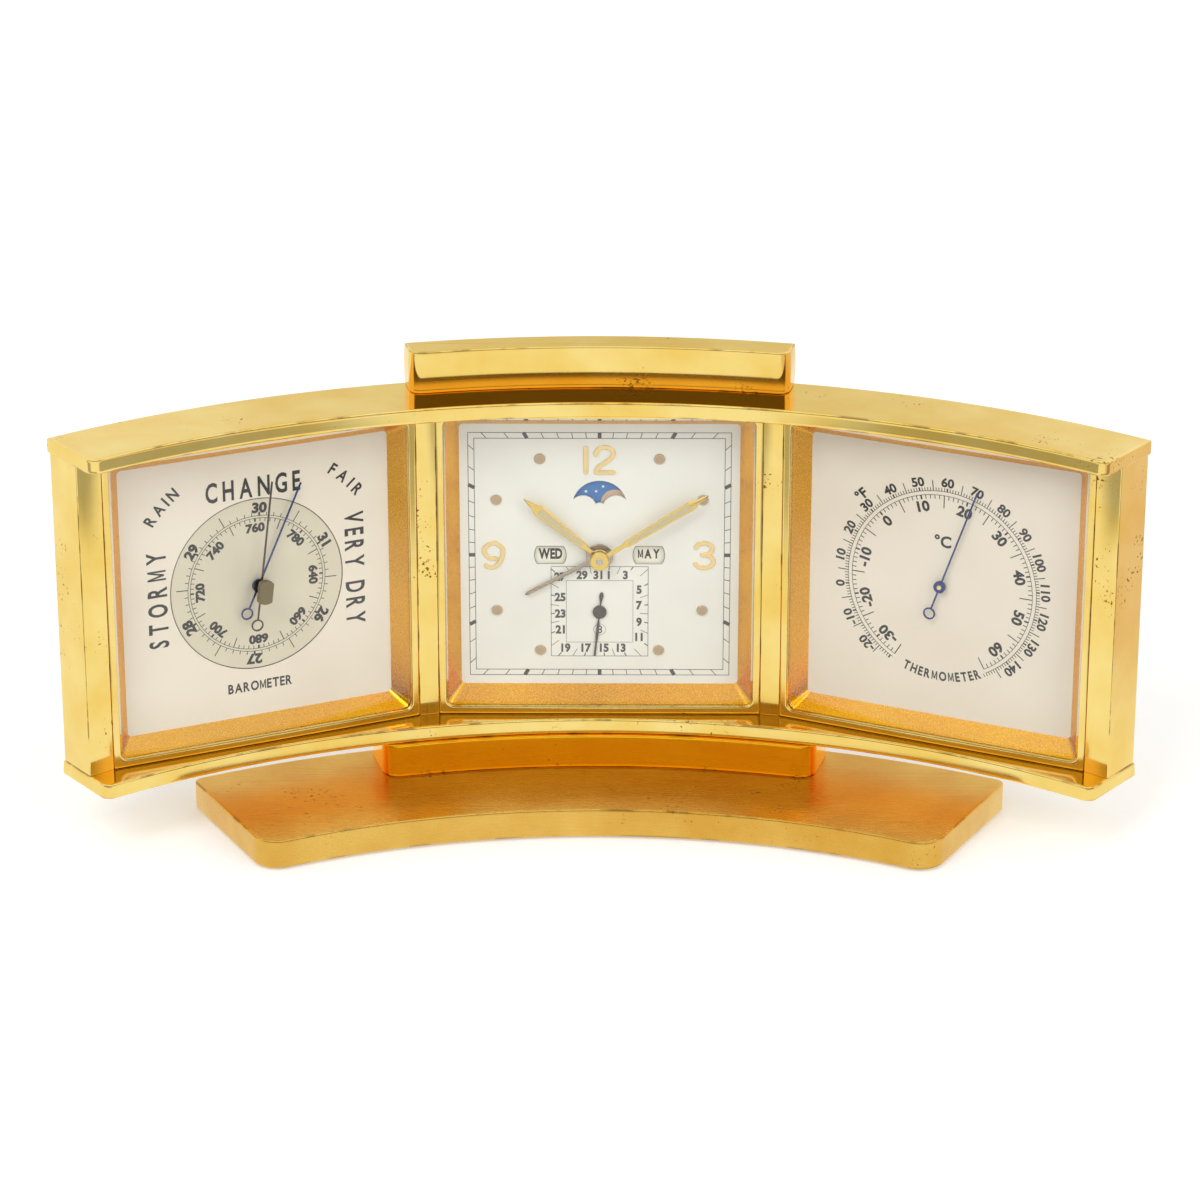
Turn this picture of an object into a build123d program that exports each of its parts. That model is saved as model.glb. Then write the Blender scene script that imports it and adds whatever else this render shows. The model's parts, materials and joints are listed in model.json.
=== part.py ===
from build123d import *
from math import asin, atan2, cos, degrees, hypot, radians, sin, sqrt
import os

# Desk set of three instruments: barometer, alarm calendar clock and thermometer.
# They stand side by side on a bow, between two rails, on one base.
# Millimetres. +X to the right as the dials are read, +Y to the back, +Z up.
# The origin is under the middle of the whole set, on the surface it stands on.

# Bow, seen from above: arcs about one point in front of the set.
# Reaches are counted from the faces' radius, to the front and to the back.
face_radius = 212.0
rail_front_reach = 4.0
rail_back_reach = 17.4
rail_corner = 3.0
base_front_reach = 32.2
base_back_reach = 13.8
base_corner = 7.0
base_back_corner = 2.5
pedestal_front_reach = 5.2
pedestal_back_reach = 11.8
pedestal_corner = 4.5
crest_front_inset = 7.5
crest_back_reach = 16.2
crest_corner = 3.2
edge_break = 0.35

# Shares of the rails' angle that the pieces under and over them take
base_angle_share = 0.760
pedestal_angle_share = 0.4226
crest_angle_share = 0.3429

# Heights, from the table up
felt_thickness = 0.8
felt_inset = 2.5
base_thickness = 7.8
pedestal_height = 9.1
rail_thickness = 4.0
pane_height = 85.8
crest_height = 11.4

# The three square faces, and the pillars between and beside them
bezel_width = 85.4
mullion_width = 5.27
end_pillar_width = 7.21
bezel_depth = 4.0
bezel_border = 1.9
bezel_lip = 1.0
bezel_wall = 0.9
bezel_corner = 2.2
side_gap = 0.05
pillar_inset = 0.4

# Glass behind the bezel's lip, raised in the middle by its bevel
glass_rim = 1.0
glass_bevel_height = 0.6
glass_bevel_width = 3.0
glass_fit = 0.1

# Sloping frame between glass and dial
frame_fit = 0.1
frame_slope_run = 3.88
frame_lead_in = 0.2

# Dials and the boxes behind them
clock_dial_depth = 7.6
side_dial_depth = 6.4
dial_thickness = 0.6
dial_fit = 0.3
housing_inset = 1.2
housing_wall = 1.2
housing_corner = 4.0
housing_depth = 25.0
cover_thickness = 1.5
cover_lip_depth = 1.6
cover_lip_width = 1.2

# Fits
run_fit = 0.06
push_fit = 0.02
free_gap = 0.4
mesh_gap = 0.15
overrun = 1.0

# Works, dials and hands are laid out in shares of the face's smaller side
bezel_height = pane_height - 2 * side_gap
face_size = min(bezel_width, bezel_height)

# Movement plates
plate_shares = (0.7260, 0.6557, 0.0351, 0.0375)
plate_width, plate_height, plate_corner, plate_post_inset = (
    share * face_size for share in plate_shares
)
plate_thickness = 1.2
plate_depth = 11.4
plate_spacing = 8.8
plate_post_radius = 2.0
stud_radius = 1.6
foot_radius = 1.2

# Arbors
centre_arbor_radius = 0.7
train_arbor_radius = 0.6
date_arbor_radius = 0.5
disc_post_radius = 0.8
key_arbor_radius = 1.4
hammer_arbor_radius = 0.6

# Hands of the clock
hand_shares = (0.3993, 0.3068, 0.2646, 0.1487, 0.0667)
minute_length, hour_length, alarm_length, date_length, date_tail = (
    share * face_size for share in hand_shares
)
pipe_wall = 0.5
minute_turn = 57.3
minute_depth = 3.6
minute_boss_radius = 2.5
minute_boss_rise = 1.0
hour_turn = 310.2
hour_depth = 4.9
hour_boss_radius = 2.5
alarm_turn = 240.9
alarm_depth = 6.2
alarm_boss_radius = 3.6
date_turn = 186.0
date_depth = 6.9
date_boss_radius = 1.85
hand_thickness = 0.4
pointer_thickness = 0.3
hand_root_width = 1.3
minute_wide = 2.3
hour_wide = 3.2
alarm_root_width = 2.2
alarm_tip_width = 1.6
date_wide = 1.5
hand_root_share = 0.10
hand_wide_share = 0.80
lume_start_share = 0.28
lume_border = 0.35
lume_recess = 0.15

# Hour dots on the clock's dial, where no numeral stands
dot_circle_share = 0.3689
dot_radius = 1.4
dot_height = 0.3
dot_hours = (1, 2, 4, 5, 7, 8, 10, 11)

# Calendar layout on the clock's dial
window_shares = (0.1528, 0.0966, 0.0562, 0.0082)
day_window_across, window_width, window_height, window_bulge = (
    share * face_size for share in window_shares
)
disc_shares = (0.1897, 0.2717, 0.1874, 0.1475, 0.1042)
date_drop, day_disc_across, day_disc_radius, moon_disc_rise, moon_disc_radius = (
    share * face_size for share in disc_shares
)
moon_across_shares = (0.0820, 0.0492, 0.0117)
moon_tip_across, moon_hump_across, moon_cusp_across = (
    share * face_size for share in moon_across_shares
)
moon_rise_shares = (0.1838, 0.2471, 0.1967, 0.1686, 0.1733)
moon_tip_rise, moon_top_rise, moon_hump_rise, moon_cusp_rise, moon_hub_rise = (
    share * face_size for share in moon_rise_shares
)
disc_thickness = 0.5
disc_gap = 0.4

# Going train and alarm train
pinion_shares = (0.0211, 0.0176, 0.0141)
centre_pinion_radius, third_pinion_radius, escape_pinion_radius = (
    share * face_size for share in pinion_shares
)
escapement_shares = (0.0679, 0.0902)
pallet_distance, balance_distance = (
    share * face_size for share in escapement_shares
)
wheel_shares = (0.0082, 0.1054, 0.0820, 0.0468, 0.0749)
gear_tooth, centre_wheel_radius, third_wheel_radius, escape_wheel_radius, balance_radius = (
    share * face_size for share in wheel_shares
)
barrel_shares = (0.1405, 0.1241, 0.1710, 0.0995)
barrel_radius, barrel_drum_radius, alarm_barrel_across, alarm_barrel_drop = (
    share * face_size for share in barrel_shares
)
setting_shares = (0.0632, 0.0761, 0.0703)
hour_wheel_radius, alarm_wheel_radius, alarm_pinion_radius = (
    share * face_size for share in setting_shares
)
wheel_thickness = 0.6
pinion_face = 1.4
centre_wheel_teeth = 48
third_wheel_teeth = 40
third_wheel_angle = 80.0
escape_wheel_teeth = 15
escape_wheel_angle = 20.0
pallet_angle = 25.0
pallet_reach_angle = 40.0
pallet_width = 0.9
pallet_gap = 0.45
fork_width = 1.0
fork_hub_radius = 1.1
balance_angle = 15.0
balance_rim = 0.9
balance_rim_height = 1.1
balance_spoke = 0.8
roller_radius = 1.2
barrel_teeth = 60
barrel_depth = 14.9
barrel_gear_height = 1.2
barrel_height = 5.6
time_barrel_angle = 214.8
hour_wheel_teeth = 30
alarm_wheel_teeth = 34
alarm_pinion_teeth = 31
alarm_setting_angle = 135.0

# Alarm striking work
gong_inset = 7.3
gong_wire_radius = 0.9
gong_start_angle = 215.0
gong_sweep = 320.0
gong_foot = 4.4
hammer_inset = 3.93
hammer_angle = 130.8
hammer_head_angle = 165.0
hammer_head_radius = 2.2
hammer_arm_width = 1.6
hammer_strike_gap = 0.5

# Controls on the back of the clock
key_shares = (0.0398, 0.1827)
key_lobe_radius, key_span = (
    share * face_size for share in key_shares
)
key_hub_radius = 2.6
key_hub_height = 3.0
key_height = 8.2
key_thickness = 1.6
key_gap = 0.4
knob_radius = 3.2
knob_height = 4.6
knob_flutes = 16
knob_flute_radius = 0.35
corrector_inset = 7.1
corrector_drop = 21.65
corrector_radius = 1.0
corrector_head_radius = 2.0
corrector_head_height = 1.1
corrector_travel = 1.2
corrector_clear = 0.3
corrector_collar_radius = 1.6
corrector_collar_height = 0.8
corrector_reach = 12.5
stop_inset = 6.0
stop_travel = 6.0
stop_slot_height = 2.4
stop_neck_width = 3.0
stop_button_width = 5.6
stop_button_height = 4.4
stop_button_rise = 1.8
stop_plate_width = 7.5
stop_plate_height = 4.4
stop_plate_thickness = 0.7

# Barometer
indicator_shares = (0.3466, 0.0960, 0.3431, 0.1218)
indicator_length, indicator_tail, set_hand_length, set_hand_tail = (
    share * face_size for share in indicator_shares
)
works_shares = (0.2787, 0.5386, 0.7026, 0.1991, 0.1405)
scale_recess_radius, works_plate_width, works_plate_height, capsule_radius, vent_circle = (
    share * face_size for share in works_shares
)
indicator_turn = 24.75
indicator_depth = 4.9
indicator_hub_radius = 1.8
indicator_hub_rise = 0.9
needle_width = 0.45
ring_radius = 1.65
ring_wire = 0.4
side_arbor_radius = 0.5
set_hand_turn = 7.5
set_hand_depth = 3.0
set_hub_radius = 1.1
set_shaft_radius = 0.7
set_knob_radius = 3.2
set_knob_width = 3.8
set_knob_height = 1.5
set_knob_gap = 0.3
scale_recess_depth = 0.15
works_plate_depth = 10.0
capsule_height = 5.6
capsule_neck_radius = 3.0
capsule_neck_height = 2.0
capsule_ripple = 0.5
capsule_ripple_count = 3
vent_radius = 1.5
vent_count = 6

# Thermometer
thermometer_shares = (0.3407, 0.0984, 0.3044, 0.1054)
pointer_length, pointer_tail, slot_length, slot_pitch = (
    share * face_size for share in thermometer_shares
)
pointer_turn = 18.9
pointer_hub_radius = 1.6
coil_inner_radius = 1.8
coil_pitch = 1.5
coil_half_turns = 9
coil_strip = 0.4
coil_height = 4.0
coil_depth = 11.4
coil_post_radius = 1.5
slot_height = 3.0
slot_rows = 5

# Places worked out from the sizes above
quarter = 90.0
half_turn = 180.0
full_turn = 360.0
base_bottom = felt_thickness
base_top = base_bottom + base_thickness
lower_rail_bottom = base_top + pedestal_height
lower_rail_top = lower_rail_bottom + rail_thickness
upper_rail_bottom = lower_rail_top + pane_height
upper_rail_top = upper_rail_bottom + rail_thickness
face_z = lower_rail_top + pane_height / 2

half_bezel = bezel_width / 2 + side_gap
pillar_front_radius = hypot(face_radius, half_bezel)
half_face_angle = degrees(atan2(half_bezel, face_radius))
mullion_angle = degrees(mullion_width / pillar_front_radius)
wing_angle = 2 * half_face_angle + mullion_angle
rail_front_radius = face_radius - rail_front_reach
rail_back_radius = face_radius + rail_back_reach
pillar_back_radius = rail_back_radius - pillar_inset
pillar_depth = sqrt(pillar_back_radius**2 - half_bezel**2) - face_radius
pillar_end_angle = wing_angle + half_face_angle + degrees(end_pillar_width / pillar_front_radius)
bow_half_angle = pillar_end_angle + degrees(pillar_inset / rail_back_radius)

base_front_radius = face_radius - base_front_reach
base_back_radius = face_radius + base_back_reach
base_half_angle = bow_half_angle * base_angle_share
pedestal_front_radius = face_radius - pedestal_front_reach
pedestal_back_radius = face_radius + pedestal_back_reach
pedestal_half_angle = bow_half_angle * pedestal_angle_share
crest_front_radius = face_radius + crest_front_inset
crest_back_radius = face_radius + crest_back_reach
crest_half_angle = bow_half_angle * crest_angle_share

opening_width = bezel_width - 2 * bezel_border
opening_height = bezel_height - 2 * bezel_border
dial_window_width = opening_width - 2 * frame_slope_run
dial_window_height = opening_height - 2 * frame_slope_run
pocket_width = bezel_width - 2 * bezel_wall
pocket_height = bezel_height - 2 * bezel_wall
pocket_corner = bezel_corner - bezel_border + bezel_wall
glass_back = bezel_lip + glass_rim
glass_front = bezel_lip - glass_bevel_height
housing_width = bezel_width - 2 * housing_inset
housing_height = bezel_height - 2 * housing_inset
housing_inner_width = housing_width - 2 * housing_wall
housing_inner_height = housing_height - 2 * housing_wall
housing_inner_corner = housing_corner - housing_wall
cover_back = housing_depth + cover_thickness
gong_radius = min(housing_inner_width, housing_inner_height) / 2 - gong_inset
corrector_across = housing_width / 2 - corrector_inset
corrector_rise = housing_height / 2 - corrector_drop
stop_rise = gong_radius - stop_inset

front_plate_back = plate_depth + plate_thickness
back_plate_front = front_plate_back + plate_spacing
back_plate_back = back_plate_front + plate_thickness
disc_depth = clock_dial_depth + dial_thickness + disc_gap
hour_angle = full_turn / 12
dot_circle = dot_circle_share * face_size
hour_bore = centre_arbor_radius + run_fit
hour_pipe_radius = hour_bore + pipe_wall
alarm_bore = hour_pipe_radius + run_fit
alarm_pipe_radius = alarm_bore + pipe_wall
dial_centre_hole = alarm_pipe_radius + free_gap
alarm_wheel_depth = disc_depth + disc_thickness + free_gap
hour_wheel_depth = alarm_wheel_depth + wheel_thickness + free_gap

base_slant = base_half_angle - degrees(asin(base_corner / (base_front_radius + base_corner)))
front_reach = (base_front_radius + base_corner) * cos(radians(base_slant)) - base_corner
back_reach = face_radius + cover_back + key_gap + key_height
bow_y = -(front_reach + back_reach) / 2


def polar(distance, angle, start=(0, 0)):
    """Place across a face, at an angle counted from +X towards up."""
    return (
        start[0] + distance * cos(radians(angle)),
        start[1] + distance * sin(radians(angle)),
    )


centre_place = (0, 0)
time_barrel_place = polar(barrel_radius + centre_pinion_radius + mesh_gap, time_barrel_angle)
alarm_barrel_place = (alarm_barrel_across, -alarm_barrel_drop)
third_place = polar(centre_wheel_radius + third_pinion_radius + mesh_gap, third_wheel_angle)
escape_place = polar(
    third_wheel_radius + escape_pinion_radius + mesh_gap, escape_wheel_angle, third_place
)
pallet_place = polar(pallet_distance, pallet_angle, escape_place)
balance_place = polar(balance_distance, balance_angle, pallet_place)
alarm_setting_place = polar(
    alarm_wheel_radius + alarm_pinion_radius + mesh_gap, alarm_setting_angle
)
hammer_place = polar(gong_radius - hammer_inset, hammer_angle)
hammer_head_place = polar(
    gong_radius - gong_wire_radius - hammer_strike_gap - hammer_head_radius, hammer_head_angle
)
day_disc_place = (-day_disc_across, 0)
month_disc_place = (day_disc_across, 0)
moon_disc_place = (0, moon_disc_rise)
date_place = (0, -date_drop)
corrector_places = {
    "day_corrector": (-corrector_across, corrector_rise),
    "date_corrector": (-corrector_across, -corrector_rise),
    "month_corrector": (corrector_across, corrector_rise),
    "moon_corrector": (corrector_across, -corrector_rise),
}
stop_place = (-stop_travel / 2, stop_rise)

centre_wheel_depth = front_plate_back + free_gap
third_wheel_depth = centre_wheel_depth + 2 * pinion_face
escape_wheel_depth = third_wheel_depth + 2 * pinion_face
balance_depth = escape_wheel_depth + wheel_thickness + free_gap
hammer_depth = back_plate_back + free_gap
gong_depth = back_plate_back + free_gap + gong_wire_radius

# Faces by name, with the turn of each about the bow
faces = {"barometer": -wing_angle, "clock": 0, "thermometer": wing_angle}
dial_depths = {
    "barometer": side_dial_depth,
    "clock": clock_dial_depth,
    "thermometer": side_dial_depth,
}

os.makedirs("parts", exist_ok=True)


def keep(piece, name):
    """Label a finished piece and write it out."""
    piece.label = name
    export_step(piece, f"parts/{name}.step")


def on_bow(radius, angle):
    """Point on the bow, at an angle from +Y towards +X."""
    return (radius * sin(radians(angle)), bow_y + radius * cos(radians(angle)))


def on_face(angle, across, depth):
    """Point seen from above, across a face and behind its bezel's front."""
    ahead_x, ahead_y = sin(radians(angle)), cos(radians(angle))
    reach = face_radius + depth
    return (reach * ahead_x + across * ahead_y, bow_y + reach * ahead_y - across * ahead_x)


def front_plane(angle, depth, place=(0, 0), turn=0):
    """Plane that faces the reader, with its +Y turned clockwise from upright."""
    x, y = on_face(angle, place[0], depth)
    ahead_x, ahead_y = sin(radians(angle)), cos(radians(angle))
    level, fall = cos(radians(turn)), sin(radians(turn))
    return Plane(
        origin=(x, y, face_z + place[1]),
        x_dir=(ahead_y * level, -ahead_x * level, -fall),
        z_dir=(-ahead_x, -ahead_y, 0),
    )


def bow_sector(front_radius, back_radius, half_angle):
    """Face between two arcs of the bow and its two radial ends."""
    with BuildLine() as outline:
        start = quarter - half_angle
        front = CenterArc((0, bow_y), front_radius, start, 2 * half_angle)
        back = CenterArc((0, bow_y), back_radius, start, 2 * half_angle)
        Line(front @ 0, back @ 0)
        Line(front @ 1, back @ 1)
    make_face(outline.edges())


def bow_distance(thing):
    """Distance from the bow's centre, for sorting corners and edges."""
    middle = thing.center()
    return hypot(middle.X, middle.Y - bow_y)


def bow_plate(bottom, height, front_radius, back_radius, half_angle, corner, back_corner):
    """Flat sector plate with rounded upright corners and broken edges."""
    with BuildPart() as plate:
        with BuildSketch(Plane.XY.offset(bottom)) as outline:
            bow_sector(front_radius, back_radius, half_angle)
            fillet(outline.vertices().sort_by(bow_distance)[:2], corner)
            if back_corner:
                fillet(outline.vertices().sort_by(bow_distance)[-2:], back_corner)
        extrude(amount=height)
        chamfer(plate.faces().filter_by(Axis.Z).edges(), edge_break)
    return plate.part


def gear_outline(teeth, outer_radius, depth):
    """Wheel outline with straight-sided teeth."""
    root = outer_radius - depth
    pitch = full_turn / teeth
    tooth_shares = ((-0.32, root), (-0.16, outer_radius), (0.16, outer_radius), (0.32, root))
    points = [
        polar(radius, (index + share) * pitch)
        for index in range(teeth)
        for share, radius in tooth_shares
    ]
    with BuildLine() as outline:
        Polyline(*points, close=True)
    make_face(outline.edges())


def rod(angle, front, back, radius, place=(0, 0)):
    """Round rod along a face's depth, added to the piece being made."""
    with BuildSketch(front_plane(angle, back, place)) as section:
        Circle(radius)
    extrude(section.sketch, amount=back - front)


def bore(angle, front, back, radius, place=(0, 0)):
    """Round hole along a face's depth, right through from front to back."""
    with BuildSketch(front_plane(angle, back + overrun, place)) as section:
        Circle(radius)
    extrude(section.sketch, amount=back - front + 2 * overrun, mode=Mode.SUBTRACT)


# Stand: base with its felt, pedestal, the two rails and the crest
base_plate = bow_plate(
    base_bottom, base_thickness, base_front_radius, base_back_radius,
    base_half_angle, base_corner, base_back_corner,
)
keep(base_plate, "base_plate")

with BuildPart() as base_felt:
    with BuildSketch() as outline:
        bow_sector(
            base_front_radius + felt_inset,
            base_back_radius - felt_inset,
            base_half_angle - degrees(felt_inset / base_front_radius),
        )
        fillet(outline.vertices().sort_by(bow_distance)[:2], base_corner - felt_inset)
    extrude(amount=felt_thickness)
keep(base_felt.part, "base_felt")

pedestal = bow_plate(
    base_top, pedestal_height, pedestal_front_radius, pedestal_back_radius,
    pedestal_half_angle, pedestal_corner, pedestal_corner / 2,
)
keep(pedestal, "pedestal")

for name, bottom in (("lower_rail", lower_rail_bottom), ("upper_rail", upper_rail_bottom)):
    rail = bow_plate(
        bottom, rail_thickness, rail_front_radius, rail_back_radius,
        bow_half_angle, rail_corner, 0,
    )
    keep(rail, name)

crest = bow_plate(
    upper_rail_top, crest_height, crest_front_radius, crest_back_radius,
    crest_half_angle, crest_corner, 0,
)
keep(crest, "crest")

# Upright pillars between the rails: mullions beside the clock, end pillars outside
for side, word in ((-1, "left"), (1, "right")):
    mullion_points = [
        on_face(0, side * half_bezel, 0),
        on_face(side * wing_angle, -side * half_bezel, 0),
        on_face(side * wing_angle, -side * half_bezel, pillar_depth),
        on_face(0, side * half_bezel, pillar_depth),
    ]
    end_points = [
        on_face(side * wing_angle, side * half_bezel, 0),
        on_bow(pillar_front_radius, side * pillar_end_angle),
        on_bow(pillar_back_radius, side * pillar_end_angle),
        on_face(side * wing_angle, side * half_bezel, pillar_depth),
    ]
    for kind, points in (("mullion", mullion_points), ("end_pillar", end_points)):
        with BuildPart() as pillar:
            with BuildSketch(Plane.XY.offset(lower_rail_top)):
                with BuildLine():
                    Polyline(*points, close=True)
                make_face()
            extrude(amount=pane_height)
        keep(pillar.part, f"{kind}_{word}")

# Bezel, glass, sloping frame and box of each instrument
for name, angle in faces.items():
    dial_depth = dial_depths[name]

    with BuildPart() as bezel:
        with BuildSketch(front_plane(angle, 0)):
            Rectangle(bezel_width, bezel_height)
            RectangleRounded(opening_width, opening_height, bezel_corner, mode=Mode.SUBTRACT)
        extrude(amount=-bezel_lip)
        with BuildSketch(front_plane(angle, bezel_lip)):
            Rectangle(bezel_width, bezel_height)
            RectangleRounded(pocket_width, pocket_height, pocket_corner, mode=Mode.SUBTRACT)
        extrude(amount=bezel_lip - bezel_depth)
    keep(bezel.part, f"{name}_bezel")

    with BuildPart() as glass:
        with BuildSketch(front_plane(angle, bezel_lip)):
            RectangleRounded(
                pocket_width - 2 * glass_fit, pocket_height - 2 * glass_fit, pocket_corner
            )
        extrude(amount=-glass_rim)
        bevel_start = (opening_width - 2 * glass_fit, opening_height - 2 * glass_fit)
        with BuildSketch(front_plane(angle, bezel_lip)):
            RectangleRounded(*bevel_start, bezel_corner)
        with BuildSketch(front_plane(angle, glass_front)):
            RectangleRounded(
                bevel_start[0] - 2 * glass_bevel_width,
                bevel_start[1] - 2 * glass_bevel_width,
                bezel_corner / 2,
            )
        loft(ruled=True)
        if name == "barometer":
            bore(angle, glass_front, glass_back, set_shaft_radius + run_fit)
    keep(glass.part, f"{name}_glass")

    with BuildPart() as rehaut:
        with BuildSketch(front_plane(angle, glass_back)):
            RectangleRounded(
                pocket_width - 2 * frame_fit, pocket_height - 2 * frame_fit, pocket_corner
            )
        extrude(amount=glass_back - bezel_depth)
        with BuildSketch(front_plane(angle, bezel_depth)):
            RectangleRounded(
                housing_inner_width - 2 * frame_fit,
                housing_inner_height - 2 * frame_fit,
                housing_inner_corner,
            )
        extrude(amount=bezel_depth - dial_depth)
        with BuildSketch(front_plane(angle, glass_back)):
            RectangleRounded(
                opening_width - 2 * frame_lead_in,
                opening_height - 2 * frame_lead_in,
                bezel_corner,
            )
        with BuildSketch(front_plane(angle, dial_depth)):
            RectangleRounded(dial_window_width, dial_window_height, bezel_corner / 2)
        loft(ruled=True, mode=Mode.SUBTRACT)
    keep(rehaut.part, f"{name}_rehaut")

    with BuildPart() as housing:
        with BuildSketch(front_plane(angle, bezel_depth)):
            RectangleRounded(housing_width, housing_height, housing_corner)
            RectangleRounded(
                housing_inner_width,
                housing_inner_height,
                housing_inner_corner,
                mode=Mode.SUBTRACT,
            )
        extrude(amount=bezel_depth - housing_depth)
    keep(housing.part, f"{name}_housing")


def dial_blank(angle, depth):
    """Dial plate, added to the piece being made."""
    with BuildSketch(front_plane(angle, depth)) as blank:
        RectangleRounded(
            housing_inner_width - 2 * dial_fit,
            housing_inner_height - 2 * dial_fit,
            housing_inner_corner,
        )
    extrude(blank.sketch, amount=-dial_thickness)


def cover_blank(angle):
    """Back cover with the lip that centres it in its box."""
    with BuildSketch(front_plane(angle, housing_depth)) as blank:
        RectangleRounded(housing_width, housing_height, housing_corner)
    extrude(blank.sketch, amount=-cover_thickness)
    lip_width = housing_inner_width - 2 * frame_fit
    lip_height = housing_inner_height - 2 * frame_fit
    with BuildSketch(front_plane(angle, housing_depth)) as lip:
        RectangleRounded(lip_width, lip_height, housing_inner_corner)
        RectangleRounded(
            lip_width - 2 * cover_lip_width,
            lip_height - 2 * cover_lip_width,
            housing_inner_corner - cover_lip_width,
            mode=Mode.SUBTRACT,
        )
    extrude(lip.sketch, amount=cover_lip_depth)


def corner_places(width, height, inset):
    """Four places inset from the corners of a plate."""
    across, rise = width / 2 - inset, height / 2 - inset
    return [(sx * across, sy * rise) for sx in (-1, 1) for sy in (-1, 1)]


plate_corners = corner_places(plate_width, plate_height, plate_post_inset)

# Clock dial, with its calendar windows and moon opening
with BuildPart() as clock_dial:
    dial_blank(0, clock_dial_depth)
    dial_back = clock_dial_depth + dial_thickness
    with BuildSketch(front_plane(0, dial_back)):
        for side in (-1, 1):
            left = side * day_window_across - window_width / 2
            right = left + window_width
            with BuildLine():
                top = Line(
                    (left + window_bulge, window_height / 2),
                    (right - window_bulge, window_height / 2),
                )
                bottom = Line(
                    (left + window_bulge, -window_height / 2),
                    (right - window_bulge, -window_height / 2),
                )
                ThreePointArc(top @ 0, (left, 0), bottom @ 0)
                ThreePointArc(top @ 1, (right, 0), bottom @ 1)
            make_face()
        with BuildLine():
            ThreePointArc(
                (-moon_tip_across, moon_tip_rise),
                (0, moon_top_rise),
                (moon_tip_across, moon_tip_rise),
            )
            for side in (-1, 1):
                ThreePointArc(
                    (side * moon_tip_across, moon_tip_rise),
                    (side * moon_hump_across, moon_hump_rise),
                    (side * moon_cusp_across, moon_cusp_rise),
                )
            ThreePointArc(
                (-moon_cusp_across, moon_cusp_rise),
                (0, moon_hub_rise),
                (moon_cusp_across, moon_cusp_rise),
            )
        make_face()
    extrude(amount=dial_thickness, mode=Mode.SUBTRACT)
    bore(0, clock_dial_depth, dial_back, dial_centre_hole)
    bore(0, clock_dial_depth, dial_back, date_arbor_radius + run_fit, date_place)
    for place in plate_corners:
        rod(0, dial_back, plate_depth, foot_radius, place)
    for hour in dot_hours:
        dot_place = polar(dot_circle, quarter - hour * hour_angle)
        rod(0, clock_dial_depth - dot_height, dial_back, dot_radius, dot_place)
keep(clock_dial.part, "clock_dial")

# Calendar and moon discs, each on a post that turns in the front plate
for name, place, radius in (
    ("day_disc", day_disc_place, day_disc_radius),
    ("month_disc", month_disc_place, day_disc_radius),
    ("moon_disc", moon_disc_place, moon_disc_radius),
):
    with BuildPart() as disc:
        rod(0, disc_depth, disc_depth + disc_thickness, radius, place)
        rod(0, disc_depth + disc_thickness, front_plate_back, disc_post_radius, place)
    keep(disc.part, name)


def leaf(angle, depth, place, turn, length, root, wide, thickness):
    """Hand blade that widens to a leaf and ends in a point."""
    with BuildSketch(front_plane(angle, depth + thickness, place, turn)) as blade:
        with BuildLine():
            Polyline(
                (-root / 2, 0),
                (-root / 2, length * hand_root_share),
                (-wide / 2, length * hand_wide_share),
                (0, length),
                (wide / 2, length * hand_wide_share),
                (root / 2, length * hand_root_share),
                (root / 2, 0),
                close=True,
            )
        make_face()
    extrude(blade.sketch, amount=thickness)


def lume_slot(depth, turn, length, root, wide):
    """Recess for the glowing paint along a hand's blade."""
    start, end = length * lume_start_share, length * hand_wide_share
    root_half, wide_half = root / 2 - lume_border, wide / 2 - lume_border
    with BuildSketch(front_plane(0, depth + lume_recess, centre_place, turn)) as slot:
        with BuildLine():
            Polyline(
                (-root_half, start), (-wide_half, end), (wide_half, end), (root_half, start),
                close=True,
            )
        make_face()
    extrude(slot.sketch, amount=lume_recess + overrun, mode=Mode.SUBTRACT)


# Hands of the clock
with BuildPart() as minute_hand:
    leaf(
        0, minute_depth, centre_place, minute_turn, minute_length,
        hand_root_width, minute_wide, hand_thickness,
    )
    lume_slot(minute_depth, minute_turn, minute_length, hand_root_width, minute_wide)
    minute_boss_front = minute_depth - minute_boss_rise
    minute_boss_back = minute_depth + hand_thickness
    rod(0, minute_boss_front, minute_boss_back, minute_boss_radius)
    bore(0, minute_boss_front, minute_boss_back, centre_arbor_radius + push_fit)
keep(minute_hand.part, "minute_hand")

with BuildPart() as hour_hand:
    leaf(
        0, hour_depth, centre_place, hour_turn, hour_length,
        hand_root_width, hour_wide, hand_thickness,
    )
    lume_slot(hour_depth, hour_turn, hour_length, hand_root_width, hour_wide)
    hour_boss_back = hour_depth + 2 * hand_thickness
    rod(0, hour_depth, hour_boss_back, hour_boss_radius)
    rod(0, hour_boss_back, hour_wheel_depth, hour_pipe_radius)
    with BuildSketch(front_plane(0, hour_wheel_depth + wheel_thickness)):
        gear_outline(hour_wheel_teeth, hour_wheel_radius, gear_tooth)
    extrude(amount=wheel_thickness)
    bore(0, hour_depth, hour_wheel_depth + wheel_thickness, hour_bore)
keep(hour_hand.part, "hour_hand")

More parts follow.
